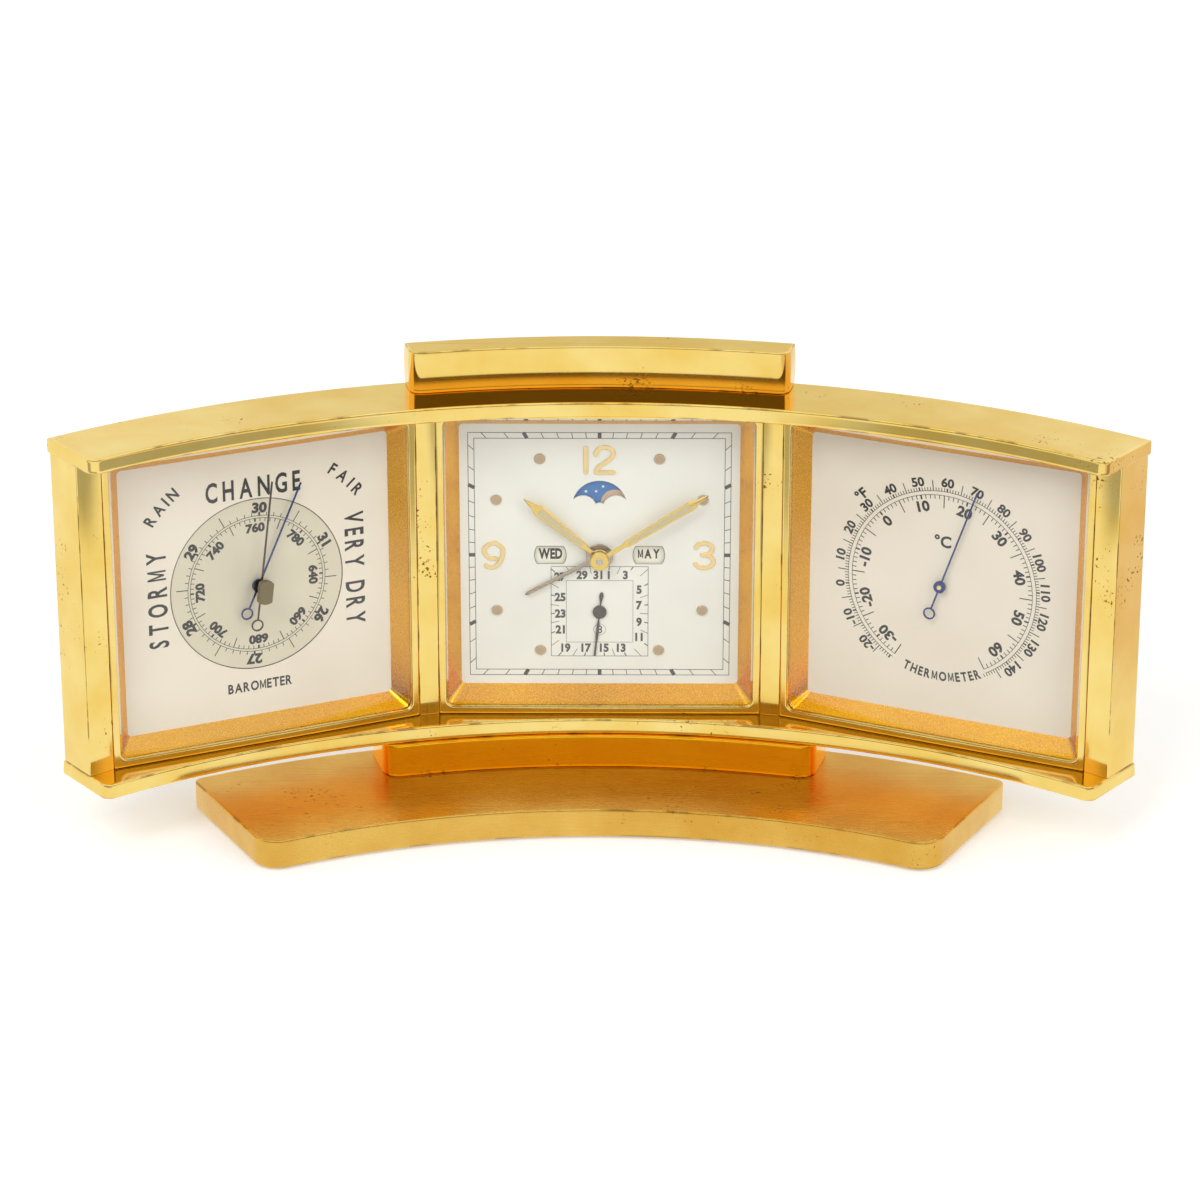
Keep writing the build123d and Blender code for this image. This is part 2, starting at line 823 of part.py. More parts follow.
with BuildPart() as alarm_hand:
    with BuildSketch(front_plane(0, alarm_depth + hand_thickness, centre_place, alarm_turn)):
        with BuildLine():
            Polyline(
                (-alarm_root_width / 2, 0),
                (-alarm_tip_width / 2, alarm_length - alarm_tip_width / 2),
                (0, alarm_length),
                (alarm_tip_width / 2, alarm_length - alarm_tip_width / 2),
                (alarm_root_width / 2, 0),
                close=True,
            )
        make_face()
        Circle(alarm_boss_radius)
    extrude(amount=hand_thickness)
    rod(0, alarm_depth + hand_thickness, alarm_wheel_depth, alarm_pipe_radius)
    with BuildSketch(front_plane(0, alarm_wheel_depth + wheel_thickness)):
        gear_outline(alarm_wheel_teeth, alarm_wheel_radius, gear_tooth)
    extrude(amount=wheel_thickness)
    bore(0, alarm_depth, alarm_wheel_depth + wheel_thickness, alarm_bore)
keep(alarm_hand.part, "alarm_hand")

with BuildPart() as date_hand:
    leaf(
        0, date_depth, date_place, date_turn, date_length,
        pointer_thickness, date_wide, pointer_thickness,
    )
    leaf(
        0, date_depth, date_place, date_turn + half_turn, date_tail,
        pointer_thickness, date_wide, pointer_thickness,
    )
    rod(0, date_depth, date_depth + pointer_thickness, date_boss_radius, date_place)
    rod(0, date_depth, front_plate_back, date_arbor_radius, date_place)
keep(date_hand.part, "date_hand")

# Movement frame: two plates held apart by posts, with studs back to the cover
bushes = [
    (time_barrel_place, key_arbor_radius),
    (alarm_barrel_place, key_arbor_radius),
    (centre_place, centre_arbor_radius),
    (third_place, train_arbor_radius),
    (escape_place, train_arbor_radius),
    (pallet_place, train_arbor_radius),
    (balance_place, train_arbor_radius),
    (alarm_setting_place, train_arbor_radius),
    (hammer_place, hammer_arbor_radius),
]
front_bushes = [
    (day_disc_place, disc_post_radius),
    (month_disc_place, disc_post_radius),
    (moon_disc_place, disc_post_radius),
    (date_place, date_arbor_radius),
]

with BuildPart() as movement_frame:
    for depth in (front_plate_back, back_plate_back):
        with BuildSketch(front_plane(0, depth)):
            RectangleRounded(plate_width, plate_height, plate_corner)
        extrude(amount=plate_thickness)
    for place in plate_corners:
        rod(0, front_plate_back, back_plate_front, plate_post_radius, place)
        rod(0, back_plate_back, housing_depth, stud_radius, place)
    for place, radius in bushes:
        bore(0, plate_depth, back_plate_back, radius + run_fit, place)
    for place, radius in front_bushes:
        with BuildSketch(front_plane(0, front_plate_back, place)):
            Circle(radius + run_fit)
        extrude(amount=plate_thickness, mode=Mode.SUBTRACT)
keep(movement_frame.part, "movement_frame")


def wheel(depth, place, teeth, radius):
    """Thin toothed wheel, added to the piece being made."""
    with BuildSketch(front_plane(0, depth + wheel_thickness, place)) as blank:
        gear_outline(teeth, radius, gear_tooth)
    extrude(blank.sketch, amount=wheel_thickness)


# Going train
knob_front = cover_back + key_gap
with BuildPart() as centre_wheel:
    rod(0, minute_boss_front + push_fit, knob_front + knob_height / 2, centre_arbor_radius)
    wheel(centre_wheel_depth, centre_place, centre_wheel_teeth, centre_wheel_radius)
    rod(0, barrel_depth, barrel_depth + pinion_face, centre_pinion_radius)
keep(centre_wheel.part, "centre_wheel")

with BuildPart() as third_wheel:
    rod(0, plate_depth, back_plate_back, train_arbor_radius, third_place)
    rod(
        0, centre_wheel_depth, centre_wheel_depth + pinion_face, third_pinion_radius, third_place
    )
    wheel(third_wheel_depth, third_place, third_wheel_teeth, third_wheel_radius)
keep(third_wheel.part, "third_wheel")

with BuildPart() as escape_wheel:
    rod(0, plate_depth, back_plate_back, train_arbor_radius, escape_place)
    rod(
        0, third_wheel_depth, third_wheel_depth + pinion_face, escape_pinion_radius, escape_place
    )
    wheel(escape_wheel_depth, escape_place, escape_wheel_teeth, escape_wheel_radius)
keep(escape_wheel.part, "escape_wheel")

# Pallet fork: two arms to the escape wheel and a fork towards the balance
pallet_contact = escape_wheel_radius + pallet_gap + pallet_width / 2
pallet_face = front_plane(0, escape_wheel_depth + wheel_thickness)
with BuildPart() as pallet_fork:
    rod(0, plate_depth, back_plate_back, train_arbor_radius, pallet_place)
    with BuildSketch(pallet_face):
        with Locations(pallet_place):
            Circle(fork_hub_radius)
        for side in (-1, 1):
            tip = polar(pallet_contact, pallet_angle + side * pallet_reach_angle, escape_place)
            with BuildLine() as arm:
                Line(pallet_place, tip)
            trace(arm.line, line_width=pallet_width)
        fork_tip = polar(
            balance_distance - roller_radius - free_gap, balance_angle, pallet_place
        )
        with BuildLine() as stem:
            Line(pallet_place, fork_tip)
        trace(stem.line, line_width=fork_width)
    extrude(amount=wheel_thickness)
keep(pallet_fork.part, "pallet_fork")

with BuildPart() as balance_wheel:
    rod(0, plate_depth, back_plate_back, train_arbor_radius, balance_place)
    rod(0, escape_wheel_depth, escape_wheel_depth + wheel_thickness, roller_radius, balance_place)
    with BuildSketch(front_plane(0, balance_depth + balance_rim_height, balance_place)):
        Circle(balance_radius)
        Circle(balance_radius - balance_rim, mode=Mode.SUBTRACT)
        Rectangle(2 * balance_radius - balance_rim, balance_spoke)
    extrude(amount=balance_rim_height)
keep(balance_wheel.part, "balance_wheel")

# Spring barrels, free on their winding arbors
for name, place in (("time_barrel", time_barrel_place), ("alarm_barrel", alarm_barrel_place)):
    with BuildPart() as barrel:
        gear_back = barrel_depth + barrel_gear_height
        with BuildSketch(front_plane(0, gear_back, place)):
            gear_outline(barrel_teeth, barrel_radius, gear_tooth)
        extrude(amount=barrel_gear_height)
        rod(0, gear_back, barrel_depth + barrel_height, barrel_drum_radius, place)
        bore(
            0, barrel_depth, barrel_depth + barrel_height, key_arbor_radius + run_fit, place
        )
    keep(barrel.part, name)

# Striking work: round wire gong on its foot, and the hammer
with BuildPart() as gong:
    with BuildLine(front_plane(0, gong_depth)) as gong_path:
        CenterArc(centre_place, gong_radius, gong_start_angle, gong_sweep)
    with BuildSketch(Plane(origin=gong_path.line @ 0, z_dir=gong_path.line % 0)):
        Circle(gong_wire_radius)
    sweep(path=gong_path.line)
    with BuildSketch(
        front_plane(0, gong_depth + gong_wire_radius, polar(gong_radius, gong_start_angle))
    ):
        Rectangle(gong_foot, gong_foot)
    extrude(amount=2 * gong_wire_radius + free_gap)
keep(gong.part, "alarm_gong")

with BuildPart() as hammer:
    rod(0, plate_depth, hammer_depth + wheel_thickness, hammer_arbor_radius, hammer_place)
    with BuildSketch(front_plane(0, hammer_depth + wheel_thickness)):
        with BuildLine() as arm:
            Line(hammer_place, hammer_head_place)
        trace(arm.line, line_width=hammer_arm_width)
        with Locations(hammer_place):
            Circle(hammer_arm_width)
    extrude(amount=wheel_thickness)
    rod(
        0, hammer_depth, gong_depth + gong_wire_radius, hammer_head_radius, hammer_head_place
    )
keep(hammer.part, "alarm_hammer")

# Controls on the back of the clock
for name, place in (("time_key", time_barrel_place), ("alarm_key", alarm_barrel_place)):
    key_front = cover_back + key_gap
    with BuildPart() as key:
        rod(0, plate_depth, key_front, key_arbor_radius, place)
        rod(0, key_front, key_front + key_hub_height, key_hub_radius, place)
        x, y = on_face(0, place[0], key_front)
        wings = Plane(origin=(x, y, face_z + place[1]), x_dir=(1, 0, 0), z_dir=(0, 0, 1))
        with BuildSketch(wings):
            for side in (-1, 1):
                lobe = (side * (key_span / 2 - key_lobe_radius), key_height - key_lobe_radius)
                with Locations(lobe):
                    Circle(key_lobe_radius)
            with Locations((0, key_height / 2)):
                Rectangle(key_span / 2, key_lobe_radius)
        extrude(amount=key_thickness / 2, both=True)
    keep(key.part, name)


def fluted_knob(place):
    """Small knob with a fluted rim, added to the piece being made."""
    with BuildSketch(front_plane(0, knob_front + knob_height, place)) as rim:
        Circle(knob_radius)
        with PolarLocations(knob_radius, knob_flutes):
            Circle(knob_flute_radius, mode=Mode.SUBTRACT)
    extrude(rim.sketch, amount=knob_height)


with BuildPart() as time_knob:
    fluted_knob(centre_place)
    with BuildSketch(front_plane(0, knob_front + knob_height / 2 + push_fit)):
        Circle(centre_arbor_radius + push_fit)
    extrude(amount=knob_height, mode=Mode.SUBTRACT)
keep(time_knob.part, "time_knob")

with BuildPart() as alarm_knob:
    fluted_knob(alarm_setting_place)
    rod(0, alarm_wheel_depth, knob_front, train_arbor_radius, alarm_setting_place)
    wheel(alarm_wheel_depth, alarm_setting_place, alarm_pinion_teeth, alarm_pinion_radius)
keep(alarm_knob.part, "alarm_knob")

corrector_head_front = cover_back + corrector_travel + corrector_clear
for name, place in corrector_places.items():
    with BuildPart() as corrector:
        rod(0, corrector_reach, corrector_head_front, corrector_radius, place)
        rod(
            0, corrector_head_front, corrector_head_front + corrector_head_height,
            corrector_head_radius, place,
        )
        collar_back = housing_depth - run_fit
        rod(
            0, collar_back - corrector_collar_height, collar_back,
            corrector_collar_radius, place,
        )
    keep(corrector.part, name)

with BuildPart() as alarm_stop:
    stop_neck_height = stop_slot_height - 2 * run_fit
    plate_back = housing_depth - run_fit
    with BuildSketch(front_plane(0, plate_back, stop_place)):
        Rectangle(stop_plate_width, stop_plate_height)
    extrude(amount=stop_plate_thickness)
    button_front = cover_back + run_fit
    with BuildSketch(front_plane(0, button_front, stop_place)):
        Rectangle(stop_neck_width, stop_neck_height)
    extrude(amount=button_front - plate_back)
    with BuildSketch(front_plane(0, button_front + stop_button_rise, stop_place)):
        RectangleRounded(stop_button_width, stop_button_height, stop_button_rise / 2)
    extrude(amount=stop_button_rise)
keep(alarm_stop.part, "alarm_stop")

with BuildPart() as clock_cover:
    cover_blank(0)
    for place in (time_barrel_place, alarm_barrel_place):
        bore(0, housing_depth, cover_back, key_arbor_radius + free_gap, place)
    bore(0, housing_depth, cover_back, centre_arbor_radius + free_gap)
    bore(0, housing_depth, cover_back, train_arbor_radius + free_gap, alarm_setting_place)
    for place in corrector_places.values():
        bore(0, housing_depth, cover_back, corrector_radius + run_fit, place)
    with BuildSketch(front_plane(0, cover_back + overrun, (0, stop_rise))):
        Rectangle(stop_travel + stop_neck_width + 2 * free_gap, stop_slot_height)
    extrude(amount=cover_thickness + 2 * overrun, mode=Mode.SUBTRACT)
keep(clock_cover.part, "clock_back_cover")


def needle(angle, depth, turn, length, tail, width):
    """Straight thin needle with a round eye on its tail."""
    with BuildSketch(front_plane(angle, depth + pointer_thickness, centre_place, turn)) as blade:
        root = tail - ring_radius + ring_wire / 2
        straight = length + root
        with Locations((0, (length - root) / 2)):
            Rectangle(width, straight)
        with Locations((0, -tail)):
            Circle(ring_radius)
            Circle(ring_radius - ring_wire, mode=Mode.SUBTRACT)
    extrude(blade.sketch, amount=pointer_thickness)


# Barometer: dial, indicator hand, set hand with its knob, and the capsule works
baro = faces["barometer"]
side_dial_back = side_dial_depth + dial_thickness
works_corners = corner_places(works_plate_width, works_plate_height, plate_post_inset)
works_back = works_plate_depth + plate_thickness

for name, angle in (("barometer", baro), ("thermometer", faces["thermometer"])):
    with BuildPart() as side_dial:
        dial_blank(angle, side_dial_depth)
        bore(angle, side_dial_depth, side_dial_back, side_arbor_radius + run_fit)
        for place in works_corners:
            rod(angle, side_dial_back, works_plate_depth, foot_radius, place)
        if name == "barometer":
            with BuildSketch(front_plane(angle, side_dial_depth + scale_recess_depth)):
                Circle(scale_recess_radius)
            extrude(amount=scale_recess_depth + overrun, mode=Mode.SUBTRACT)
    keep(side_dial.part, f"{name}_dial")

with BuildPart() as barometer_hand:
    needle(
        baro, indicator_depth, indicator_turn, indicator_length, indicator_tail, needle_width
    )
    hub_front = indicator_depth - indicator_hub_rise / 2
    rod(baro, hub_front, hub_front + indicator_hub_rise, indicator_hub_radius)
    rod(baro, hub_front, works_back, side_arbor_radius)
keep(barometer_hand.part, "barometer_hand")

with BuildPart() as set_hand:
    needle(baro, set_hand_depth, set_hand_turn, set_hand_length, set_hand_tail, needle_width)
    rod(baro, set_hand_depth, set_hand_depth + 2 * pointer_thickness, set_hub_radius)
    bore(
        baro, set_hand_depth, set_hand_depth + 2 * pointer_thickness,
        set_shaft_radius + push_fit,
    )
keep(set_hand.part, "barometer_set_hand")

with BuildPart() as set_knob:
    knob_back = glass_front - set_knob_gap
    with BuildSketch(front_plane(baro, knob_back, centre_place, set_hand_turn)):
        Circle(set_knob_radius)
        Rectangle(set_knob_width, 2 * set_knob_radius, mode=Mode.INTERSECT)
    extrude(amount=set_knob_height)
    rod(baro, knob_back, set_hand_depth + 2 * pointer_thickness, set_shaft_radius)
keep(set_knob.part, "barometer_set_knob")

with BuildPart() as capsule:
    with BuildSketch(front_plane(baro, works_back)):
        RectangleRounded(works_plate_width, works_plate_height, plate_corner)
    extrude(amount=plate_thickness)
    neck_back = works_back + capsule_neck_height
    rod(baro, works_back, neck_back + capsule_ripple, capsule_neck_radius)
    capsule_x, capsule_y = on_face(baro, 0, neck_back)
    ripple_step = capsule_radius / (2 * capsule_ripple_count + 1)
    profile = Plane(
        origin=(capsule_x, capsule_y, face_z),
        x_dir=(cos(radians(baro)), -sin(radians(baro)), 0),
        z_dir=(0, 0, 1),
    )
    front = [(0, 0)]
    back = [(0, capsule_height)]
    for index in range(1, 2 * capsule_ripple_count + 1):
        dip = capsule_ripple if index % 2 else 0
        front.append((index * ripple_step, dip))
        back.append((index * ripple_step, capsule_height - dip))
    rim = [(capsule_radius, 0), (capsule_radius, capsule_height)]
    with BuildSketch(profile):
        with BuildLine():
            Polyline(*front, *rim, *back[::-1], close=True)
        make_face()
    revolve(axis=Axis((capsule_x, capsule_y, face_z), profile.y_dir))
    bore(baro, works_plate_depth, works_back, side_arbor_radius + run_fit)
    for place in works_corners:
        rod(baro, works_back, housing_depth, stud_radius, place)
keep(capsule.part, "barometer_capsule")

with BuildPart() as barometer_cover:
    cover_blank(baro)
    with BuildSketch(front_plane(baro, cover_back + overrun)):
        Circle(vent_radius)
        with PolarLocations(vent_circle, vent_count):
            Circle(vent_radius)
    extrude(amount=cover_thickness + 2 * overrun, mode=Mode.SUBTRACT)
keep(barometer_cover.part, "barometer_back_cover")

# Thermometer: pointer and the spiral of bimetal that turns it
thermo = faces["thermometer"]
with BuildPart() as thermometer_hand:
    needle(
        thermo, indicator_depth, pointer_turn, pointer_length, pointer_tail, needle_width
    )
    rod(thermo, hub_front, hub_front + indicator_hub_rise, pointer_hub_radius)
    rod(thermo, hub_front, coil_depth + coil_height, side_arbor_radius)
keep(thermometer_hand.part, "thermometer_hand")

with BuildPart() as coil:
    with BuildSketch(front_plane(thermo, works_back)):
        RectangleRounded(works_plate_width, works_plate_height, plate_corner)
    extrude(amount=plate_thickness)
    with BuildSketch(front_plane(thermo, coil_depth + coil_height)):
        for index in range(coil_half_turns):
            radius = coil_inner_radius + index * coil_pitch / 2
            shift = coil_pitch / 4 * (-1 if index % 2 else 1)
            start = half_turn * (index % 2)
            with BuildLine():
                outer = CenterArc((shift, 0), radius + coil_strip / 2, start, half_turn)
                inner = CenterArc((shift, 0), radius - coil_strip / 2, start, half_turn)
                Line(outer @ 0, inner @ 0)
                Line(outer @ 1, inner @ 1)
            make_face()
    extrude(amount=coil_height)
    last_radius = coil_inner_radius + (coil_half_turns - 1) * coil_pitch / 2
    last_side = -1 if coil_half_turns % 2 else 1
    coil_end = (last_side * last_radius + coil_pitch / 4 * -last_side, 0)
    rod(thermo, works_back, coil_depth + coil_height, coil_post_radius, coil_end)
    bore(thermo, works_plate_depth, works_back, side_arbor_radius + run_fit)
    for place in works_corners:
        rod(thermo, works_back, housing_depth, stud_radius, place)
keep(coil.part, "thermometer_coil")

with BuildPart() as thermometer_cover:
    cover_blank(thermo)
    with BuildSketch(front_plane(thermo, cover_back + overrun)):
        with GridLocations(0, slot_pitch, 1, slot_rows):
            SlotOverall(slot_length, slot_height)
    extrude(amount=cover_thickness + 2 * overrun, mode=Mode.SUBTRACT)
keep(thermometer_cover.part, "thermometer_back_cover")
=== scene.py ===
# %% [markdown]
# # A desk set of barometer, alarm calendar clock and thermometer
#
# Three square instruments stand side by side on a bow, between two curved
# rails of gilt brass, on a curved base. This script loads the engineering
# model as a fixed frame and dresses it: fine metal edges, bevelled glasses,
# printed dials, hands, and the studio around it.

# %% Load the imported model
import json
from math import asin, cos, pi, radians, sin

import bmesh
import bpy
from mathutils import Matrix, Vector


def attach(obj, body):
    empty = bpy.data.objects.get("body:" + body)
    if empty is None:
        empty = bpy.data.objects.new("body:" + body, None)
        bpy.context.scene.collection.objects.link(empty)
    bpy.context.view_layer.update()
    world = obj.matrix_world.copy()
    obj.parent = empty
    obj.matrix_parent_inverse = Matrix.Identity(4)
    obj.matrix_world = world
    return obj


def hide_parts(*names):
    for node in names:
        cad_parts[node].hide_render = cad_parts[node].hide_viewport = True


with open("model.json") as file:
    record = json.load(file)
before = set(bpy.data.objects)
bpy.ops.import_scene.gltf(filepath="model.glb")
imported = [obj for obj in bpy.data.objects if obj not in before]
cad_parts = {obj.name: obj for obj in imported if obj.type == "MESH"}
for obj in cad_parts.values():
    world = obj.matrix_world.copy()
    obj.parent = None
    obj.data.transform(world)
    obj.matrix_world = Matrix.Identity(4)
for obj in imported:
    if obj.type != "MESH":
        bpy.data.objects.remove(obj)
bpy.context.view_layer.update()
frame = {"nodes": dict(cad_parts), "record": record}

nodes = frame["nodes"]

# %% [markdown]
# ## One set of sizes
#
# The model is in metres, but a maker thinks in millimetres, so every size
# below is in millimetres and is scaled once, when a mesh is placed. Each
# instrument has a face frame: across, up, and forward to the reader. A dial
# is drawn flat in that frame, and one matrix carries it to its place.

# %% Sizes and face frames
MM = 0.001
BOW_Y = -203.684
FACE_RADIUS = 212.0
FACE_Z = 64.6
WING = 24.198
FACE_ANGLES = {"barometer": -WING, "clock": 0.0, "thermometer": WING}
CLOCK_DEPTH, SIDE_DEPTH, RECESS_DEPTH = 7.6, 6.4, 6.55


def face_frame(angle):
    """Matrix from a face's millimetres (across, up, forward) to the shared frame."""
    s, c = sin(radians(angle)), cos(radians(angle))
    centre = Vector((FACE_RADIUS * s, BOW_Y + FACE_RADIUS * c, FACE_Z)) * MM
    turn = Matrix(((c, 0, -s), (-s, 0, -c), (0, 1, 0)))
    return Matrix.Translation(centre) @ turn.to_4x4() @ Matrix.Scale(MM, 4)


FACES = {name: face_frame(angle) for name, angle in FACE_ANGLES.items()}
ROOM = Matrix.Scale(MM, 4)
for name, place in FACES.items():
    print(name, "faces", [round(v, 3) for v in place.to_3x3().col[2] / MM])

# %% [markdown]
# ## The camera
#
# The photograph was taken from slightly above with a long lens, which keeps
# the three faces nearly square. The long lens also needs a long distance, so
# the camera stands more than a metre away.

# %% Camera
def in_scene(name, data):
    """A new object, linked into the scene."""
    thing = bpy.data.objects.new(name, data)
    bpy.context.scene.collection.objects.link(thing)
    return thing


def aim(thing, place, way):
    """Puts a camera or a lamp in its place and turns it to look one way."""
    thing.location = place
    thing.rotation_mode = "QUATERNION"
    thing.rotation_quaternion = Vector(way).to_track_quat("-Z", "Y")


camera_data = bpy.data.cameras.new("studio_camera")
camera_data.lens, camera_data.sensor_width = 136.2, 36.0
camera_data.clip_start, camera_data.clip_end = 0.05, 20.0
camera = in_scene("studio_camera", camera_data)
aim(camera, (0.00595, -1.09937, 0.51682), (-0.00484, 0.92287, -0.38508))
bpy.context.scene.camera = camera
print("camera is", round(camera.location.length, 3), "m from the set")

# %% [markdown]
# ## Colours and node trees
#
# Blender's colours are linear, while a colour picker shows the coded value.
# `paint` does that change, so the values below can be compared with a
# picture. `Tree` keeps the node trees short enough to read: each of its
# methods adds one node, and an input may be a number or another node's
# output. The Mix node has sockets of several kinds with the same names, so
# its colours are taken by number, 6 and 7, and its output is number 2.

# %% Colour and node helpers
WHITE = (1.0, 1.0, 1.0, 1.0)
SMOOTH = "SMOOTHSTEP"


def paint(code):
    """Linear colour, with full alpha, from a coded hex colour."""
    parts = [int(code[i:i + 2], 16) / 255 for i in (1, 3, 5)]
    linear = [p / 12.92 if p <= 0.04045 else ((p + 0.055) / 1.055) ** 2.4 for p in parts]
    return (*linear, 1.0)


class Tree:
    """A node tree, with short ways to add nodes to it."""

    def __init__(self, tree):
        self.tree = tree

    def feed(self, node, inputs):
        """Sets inputs of a node. An input that is given an output is connected to it."""
        for key, value in inputs.items():
            if isinstance(value, bpy.types.NodeSocket):
                self.tree.links.new(value, node.inputs[key])
            else:
                node.inputs[key].default_value = value
        return node

    def add(self, kind, inputs=None, **settings):
        """A new node with its settings and inputs."""
        node = self.tree.nodes.new(kind)
        for key, value in settings.items():
            setattr(node, key, value)
        return self.feed(node, inputs or {})

    def out(self, kind, inputs=None, **settings):
        """First output of a new node."""
        return self.add(kind, inputs, **settings).outputs[0]

    def use(self, effect, inputs):
        """Outputs of a node group that is used here."""
        return self.add("ShaderNodeGroup", inputs, node_tree=effect.tree).outputs

    def math(self, operation, *values):
        """Result of one math node."""
        return self.out("ShaderNodeMath", dict(enumerate(values)), operation=operation)

    def chain(self, first, *steps):
        """Result of several math nodes in a row: (operation, other values)."""
        for operation, *values in steps:
            first = self.math(operation, first, *values)
        return first

    def ramp(self, value, start, end, low=0.0, high=1.0, kind="LINEAR"):
        """A number carried from one range to another and held at its ends."""
        return self.out("ShaderNodeMapRange", {"Value": value, "From Min": start, "From Max": end,
                                               "To Min": low, "To Max": high},
                        interpolation_type=kind)

    def mix(self, factor, first, second):
        """Colour between two colours."""
        return self.add("ShaderNodeMix", {"Factor": factor, 6: first, 7: second},
                        data_type="RGBA").outputs[2]

    def either(self, factor, first, second):
        """Shader between two shaders."""
        return self.out("ShaderNodeMixShader", {"Fac": factor, 1: first, 2: second})

    def noise(self, place, scale, detail=2.0, roughness=0.5):
        """Cloudy noise."""
        return self.out("ShaderNodeTexNoise", {"Vector": place, "Scale": scale, "Detail": detail,
                                               "Roughness": roughness})

    def bump(self, height, distance):
        """Normal of a surface with fine relief."""
        return self.out("ShaderNodeBump", {"Strength": 1.0, "Distance": distance,
                                           "Height": height})

    def combine(self, **parts):
        """Vector from X, Y and Z."""
        return self.out("ShaderNodeCombineXYZ", parts)

    def split(self, vector):
        """X, Y and Z of a vector."""
        return self.add("ShaderNodeSeparateXYZ", {0: vector}).outputs

    def place(self, kind="Object"):
        """Coordinates of the shaded point."""
        return self.add("ShaderNodeTexCoord").outputs[kind]

    def surface(self, shader, output="Material Output"):
        """Connects the last shader."""
        self.feed(self.tree.nodes[output], {"Surface": shader})


def shader_group(name, inputs, outputs):
    """An empty shader node group with named sockets, its inputs and its end node."""
    group = bpy.data.node_groups.new(name, "ShaderNodeTree")
    for direction, sockets in (("INPUT", inputs), ("OUTPUT", outputs)):
        for label, kind, value in sockets:
            socket = group.interface.new_socket(label, in_out=direction, socket_type=kind)
            if value is not None:
                socket.default_value = value
    effect = Tree(group)
    return effect, effect.add("NodeGroupInput").outputs, effect.add("NodeGroupOutput")


def new_material(name):
    """Keeps a new material under its name in `finishes`: its node tree and its shader."""
    finishes[name] = bpy.data.materials.new(name)
    finishes[name].use_nodes = True
    tree = finishes[name].node_tree
    return Tree(tree), tree.nodes["Principled BSDF"]


finishes = {}
FLOAT, VECTOR, COLOUR = "NodeSocketFloat", "NodeSocketVector", "NodeSocketColor"

# %% [markdown]
# ## Effects that several finishes share
#
# The gilt parts share four effects. Brush marks follow the bow, so the first
# group turns plain coordinates into distance along and across the arc. The
# second draws the marks, the third scatters small dark specks of tarnish,
# and the fourth darkens the edges, where the gilding has worn through. The
# edges are found from a mesh attribute that the pieces carry on their
# rounded rims, which is exact and survives an export.

# %% Coordinates that follow the bow
bow, _, bow_end = shader_group("Bow coordinates", [], [("Vector", VECTOR, None)])
spot = bow.split(bow.place())
ahead = bow.math("SUBTRACT", spot["Y"], BOW_Y * MM)
along = bow.chain(spot["X"], ("ARCTAN2", ahead), ("MULTIPLY", FACE_RADIUS * MM))
reach = bow.add("ShaderNodeVectorMath", {0: bow.combine(X=spot["X"], Y=ahead)},
                operation="LENGTH").outputs["Value"]
bow.feed(bow_end, {"Vector": bow.combine(X=along, Y=reach, Z=spot["Z"])})

# %% Brush marks
brush, given, brush_end = shader_group(
    "Brush marks",
    [("Vector", VECTOR, None), ("Across Marks", VECTOR, (30.0, 3000.0, 3000.0))],
    [("Marks", FLOAT, None), ("Cloud", FLOAT, None)])
drawn_out = brush.out("ShaderNodeVectorMath", {0: given["Vector"], 1: given["Across Marks"]},
                      operation="MULTIPLY")
brush.feed(brush_end, {"Marks": brush.noise(drawn_out, 1.0, 3.0, 0.6),
                       "Cloud": brush.noise(given["Vector"], 45.0, 3.0, 0.55)})

# %% Specks of tarnish
speck, given, speck_end = shader_group(
    "Tarnish specks",
    [("Vector", VECTOR, None), ("Size", FLOAT, 900.0), ("Cover", FLOAT, 0.09),
     ("Clean", COLOUR, None), ("Tarnished", COLOUR, None)],
    [("Color", COLOUR, None), ("Mask", FLOAT, None)])
dots = speck.noise(given["Vector"], given["Size"])
patches = speck.noise(given["Vector"], 60.0)
limit = speck.math("SUBTRACT", 0.5, given["Cover"])
mask = speck.ramp(speck.math("MULTIPLY", dots, patches), limit, speck.math("ADD", limit, 0.06))
speck.feed(speck_end, {"Color": speck.mix(mask, given["Clean"], given["Tarnished"]),
                       "Mask": mask})

# %% Worn edges
wear_off, given, wear_end = shader_group(
    "Worn edges",
    [("Vector", VECTOR, None), ("Wear", FLOAT, 0.5), ("Gilt", COLOUR, None),
     ("Bare", COLOUR, None)],
    [("Color", COLOUR, None), ("Mask", FLOAT, None)])
rim = wear_off.add("ShaderNodeAttribute", attribute_name="edge").outputs["Fac"]
spots = wear_off.ramp(wear_off.noise(given["Vector"], 110.0, 6.0), 0.50, 0.60)
mask = wear_off.chain(rim, ("MULTIPLY", spots), ("MULTIPLY", given["Wear"]))
wear_off.feed(wear_end, {"Color": wear_off.mix(mask, given["Gilt"], given["Bare"]),
                         "Mask": mask})
print("shared effects:", [g.name for g in bpy.data.node_groups])

# %% [markdown]
# ## Gilt brass
#
# All the metal of the case is one gilding, but the maker finished it in two
# ways. Rails, pillars, frames and crest are polished like a mirror, with only
# faint marks along their length. Base and pedestal are brushed in straight
# lines. The gold is the metal's own reflection colour, so light that bounces
# twice between two parts turns to amber by itself. The photograph's amber is
# deeper still, so gold that is seen in other gold has a deeper colour here.

# %% Gilt finishes
GILT = (0.96, 0.74, 0.25, 1.0)
GILT_DEEP = (0.90, 0.62, 0.14, 1.0)
SECOND = (0.93, 0.50, 0.05, 1.0)
BARE, TARNISH = paint("#6E4516"), paint("#94651F")


